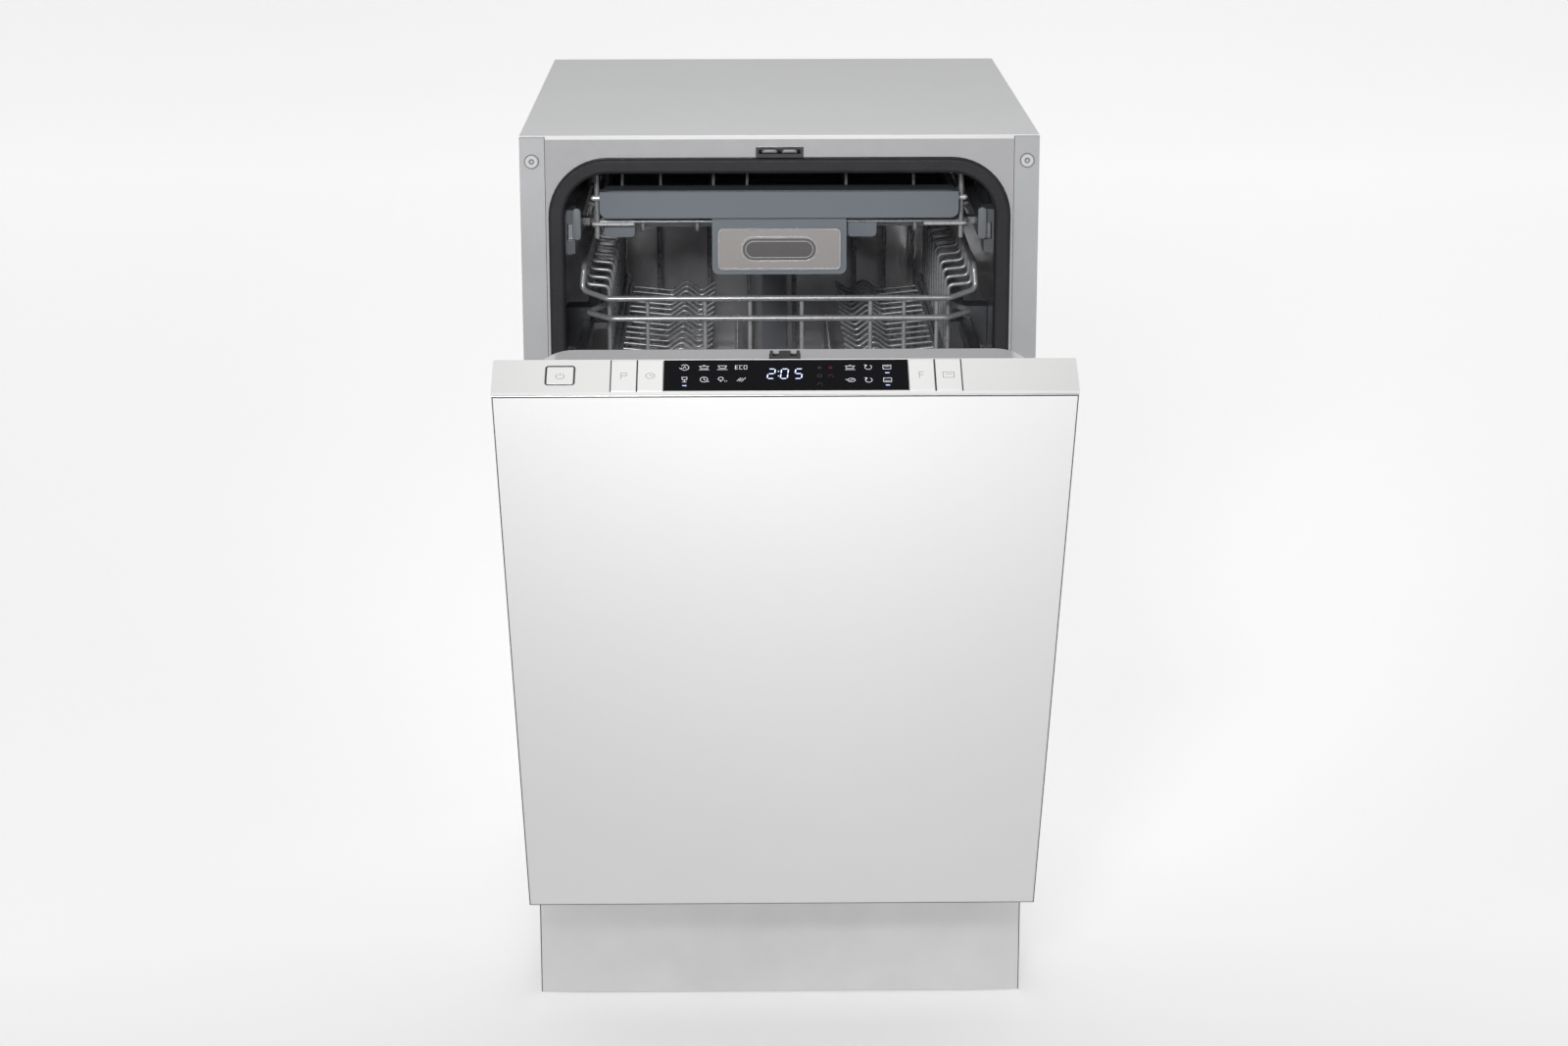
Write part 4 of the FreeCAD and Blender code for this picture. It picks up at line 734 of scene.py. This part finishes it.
rim_x = (-PLATE_HALF + RIM_INSET, PLATE_HALF - RIM_INSET)
rim_z = (PLATE_LOW + RIM_INSET, PLATE_HIGH - RIM_INSET)
raised_line("nameplate_rim", outline(rim_x, rim_z, 3.4), 1.3, 0.5)
raised_line("badge_outer_ring", badge_oval(33.2, 10.6), 1.5, 0.7)
FIELD_HEIGHT = 0.35
field_points = badge_oval(32.0, 9.4)
total = len(field_points)
field_vertices = [(x, y, height) for height in (0, FIELD_HEIGHT) for x, y in field_points]
field_faces = [tuple(range(total, 2 * total))]
for i in range(total):
    following = (i + 1) % total
    field_faces.append((i, following, total + following, total + i))
field = facing([(field_vertices, field_faces)], PLATE_DEPTH)
BADGE_FIELD = look("badge_field", (0.075, 0.07, 0.07), 0.45, 0.3, (40, 0.05))
piece("badge_field", mesh_of("badge_field", field), "cutlery_rack", BADGE_FIELD)
raised_line("badge_inner_ring", badge_oval(29.6, 7.2), 0.8, 0.6)

# flaps of the cutlery insert that hang behind the bar
BAR_BACK = 49.5
for name, x_span in (("insert_flap_left", (-154, -127)), ("insert_flap_right", (60, 86))):
    flap = outline(x_span, (718, 740), 4)
    flap_look = LOOKS["handle_plastic"]
    plate(name, flap, BAR_BACK, 2.0, "cutlery_rack", flap_look, 0.0005)

# a dark sheet runs back from the bar's top: painted shade, where the opening's top shades the bar
LIP_SIZE = (0.308, 0.030, 0.0022)
LIP_LEVEL = 760.6
# the sheet's colour, a darker copy of the handle's plastic: painted shade
LIP_PAINTED_SHADE = look(
    "handle_top_painted_shade",
    (0.07, 0.08, 0.092),
    0.42,
    mottle=(12, 0.05),
    rough_change=0.03,
    bump=(650, 0.08, 0.0003),
)
lip_mesh = bmesh.new()
bmesh.ops.create_cube(lip_mesh, size=1)
bmesh.ops.scale(lip_mesh, vec=LIP_SIZE, verts=lip_mesh.verts)
bmesh.ops.translate(lip_mesh, vec=at(0, BAR_BACK, LIP_LEVEL), verts=lip_mesh.verts)
upright = [e for e in lip_mesh.edges if abs(e.verts[0].co.z - e.verts[1].co.z) > 0.001]
bmesh.ops.bevel(lip_mesh, geom=upright, offset=0.006, segments=5, profile=0.5, affect="EDGES")
lip_data = bpy.data.meshes.new("handle_top_painted_shade")
lip_mesh.to_mesh(lip_data)
lip_mesh.free()
piece("handle_top_painted_shade", lip_data, "cutlery_rack", LIP_PAINTED_SHADE)

SIDES = ((-1, "left"), (1, "right"))
# a lighter copy of the coated basket wire: painted highlight on the tray's wires, which stand in the dark
# top of the tub
WIRE_PAINTED_HIGHLIGHT = look(
    "wire_painted_highlight", (0.48, 0.48, 0.49), 0.3, 0.3, (50, 0.08), 0.05, (260, 0.1, 0.0003), coat=0.3
)

# short wires that run from the tray's posts to the bar, with a collar at each post
TRAY_POST = 163.5
for side, name in SIDES:
    post = side * TRAY_POST
    hook = [at(post, 45, 731.5), at(post, 40, 731.5), at(side * 128, 40, 731.5)]
    collar = [at(post, 43, 754), at(side * 157.5, 43, 754)]
    wires = mesh_of("tray_end", [tube(eased(hook, 0.004), 0.0016), tube(collar, 0.0024, 12)])
    piece(f"tray_end_wires_{name}", wires, "cutlery_rack", WIRE_PAINTED_HIGHLIGHT)

# wires that stand over the cutlery and hold it down, a long loop each, tied by two cross wires
HOLD_DOWN_FOOT, HOLD_DOWN_TOP = 748, 768
HOLD_DOWN_FRONT, HOLD_DOWN_BACK = 82, 440
HOLD_DOWN_RADIUS = 0.0013
CROSS_DROP, CROSS_REACH = 2.2, 148
hold_parts = []
for x in (-139, -105, -58, -28, 60, 120):
    loop = [
        at(x, HOLD_DOWN_FRONT, HOLD_DOWN_FOOT),
        at(x, HOLD_DOWN_FRONT, HOLD_DOWN_TOP),
        at(x, HOLD_DOWN_BACK, HOLD_DOWN_TOP),
        at(x, HOLD_DOWN_BACK, HOLD_DOWN_FOOT),
    ]
    hold_parts.append(tube(eased(loop, 0.006), HOLD_DOWN_RADIUS, 8))
for depth in (160, 340):
    cross = [at(x, depth, HOLD_DOWN_TOP - CROSS_DROP) for x in (-CROSS_REACH, CROSS_REACH)]
    hold_parts.append(tube(cross, HOLD_DOWN_RADIUS, 8))
hold_down = mesh_of("tray_hold_down", hold_parts)
piece("tray_hold_down", hold_down, "cutlery_rack", WIRE_PAINTED_HIGHLIGHT)

# ---------------------------------------------------------------- latch strike

CATCH_STEEL = look(
    "catch_steel", (0.30, 0.30, 0.31), 0.4, 0.8, (40, 0.1), bump=(300, 0.1, 0.0003)
)
# (x, depth, z) of a catch's bent wire, x from its middle
CATCH_BEND = ((-5.5, -1.6, 801), (-4.5, -3.0, 801.6), (4.5, -3.0, 801.6), (5.5, -1.6, 801))
for side, name in SIDES:
    middle = side * 8.5
    hook = eased([at(middle + x, depth, z) for x, depth, z in CATCH_BEND], 0.002)
    catch = mesh_of("catch", [tube(hook, 0.0016)])
    piece(f"strike_catch_{name}", catch, "cabinet", CATCH_STEEL)

# ---------------------------------------------------------------- dark edge round the white front

EDGE_LINE = look("edge_line", (0.09, 0.09, 0.095), 0.5, mottle=(60, 0.1))
DOOR_FACE_DEPTH = -64.0
FRONT_LOW, FRONT_HIGH = 197.6, 790
front_lines = [
    ribbon([(-222.5, FRONT_LOW), (-222.5, FRONT_HIGH)], 0.9),
    ribbon([(222.5, FRONT_LOW), (222.5, FRONT_HIGH)], 0.9),
    ribbon([(-222.9, FRONT_LOW), (222.9, FRONT_LOW)], 0.9),
    # the wider line along the top: painted shade under the console's lip
    ribbon([(-222.9, FRONT_HIGH + 0.1), (222.9, FRONT_HIGH + 0.1)], 1.4),
]
edge_parts = []
for vertices, faces in front_lines:
    edge_parts.append(([DOOR @ at(x, DOOR_FACE_DEPTH - z, y) for x, y, z in vertices], faces))
piece("front_edge_line", mesh_of("front_edge_line", edge_parts), "door", EDGE_LINE)

plinth_lines = [ribbon([(side * 223.4, 2.5), (side * 223.4, 97.2)], 0.8) for side in (-1, 1)]
plinth_edge = mesh_of("plinth_edge", facing(plinth_lines, 50.0))
piece("plinth_edge_line", plinth_edge, "cabinet", EDGE_LINE)

# ---------------------------------------------------------------- covered screws, and a painted highlight along the top's front edge

CAP_RING = look("cap_ring", (0.12, 0.12, 0.125), 0.5, mottle=(60, 0.1))
for side, name in SIDES:
    x, z = side * 213.5, 792.7
    outer = facing([ribbon(ring(x, z, 5.9), 1.0, True, 0.25)], 0.0)
    inner = facing([ribbon(ring(x, z, 1.7), 1.1, True, 0.2)], -0.8)
    screw_ring = mesh_of("screw_ring", outer + inner)
    piece(f"screw_ring_{name}", screw_ring, "cabinet", CAP_RING)

# a light grey strip over the dark gap under the top cover's front edge: painted highlight, which also hides
# the gap's shade
TOP_EDGE_PAINTED_HIGHLIGHT = look("top_edge_painted_highlight", (0.58, 0.58, 0.585), 0.4, 0.1, (20, 0.03))
top_edge_highlight_outline = [(-202, 811.6), (202, 811.6), (202, 813.95), (-202, 813.95)]
plate("top_edge_painted_highlight", top_edge_highlight_outline, -0.15, 0.8, "cabinet", TOP_EDGE_PAINTED_HIGHLIGHT, 0.0)

# ---------------------------------------------------------------- end caps of the tray's slide bars

SLIDE_CAP = look(
    "slide_cap",
    (0.10, 0.108, 0.118),
    0.4,
    mottle=(30, 0.06),
    rough_change=0.04,
    bump=(420, 0.15, 0.0004),
    coat=0.1,
)
for side, name in SIDES:
    cap = outline(sorted((side * 172.5, side * 180)), (722.5, 750.5), 3.4)
    plate(
        f"slide_cap_{name}", cap, 8.5, 5.0, "cutlery_rack", SLIDE_CAP, 0.0012
    )
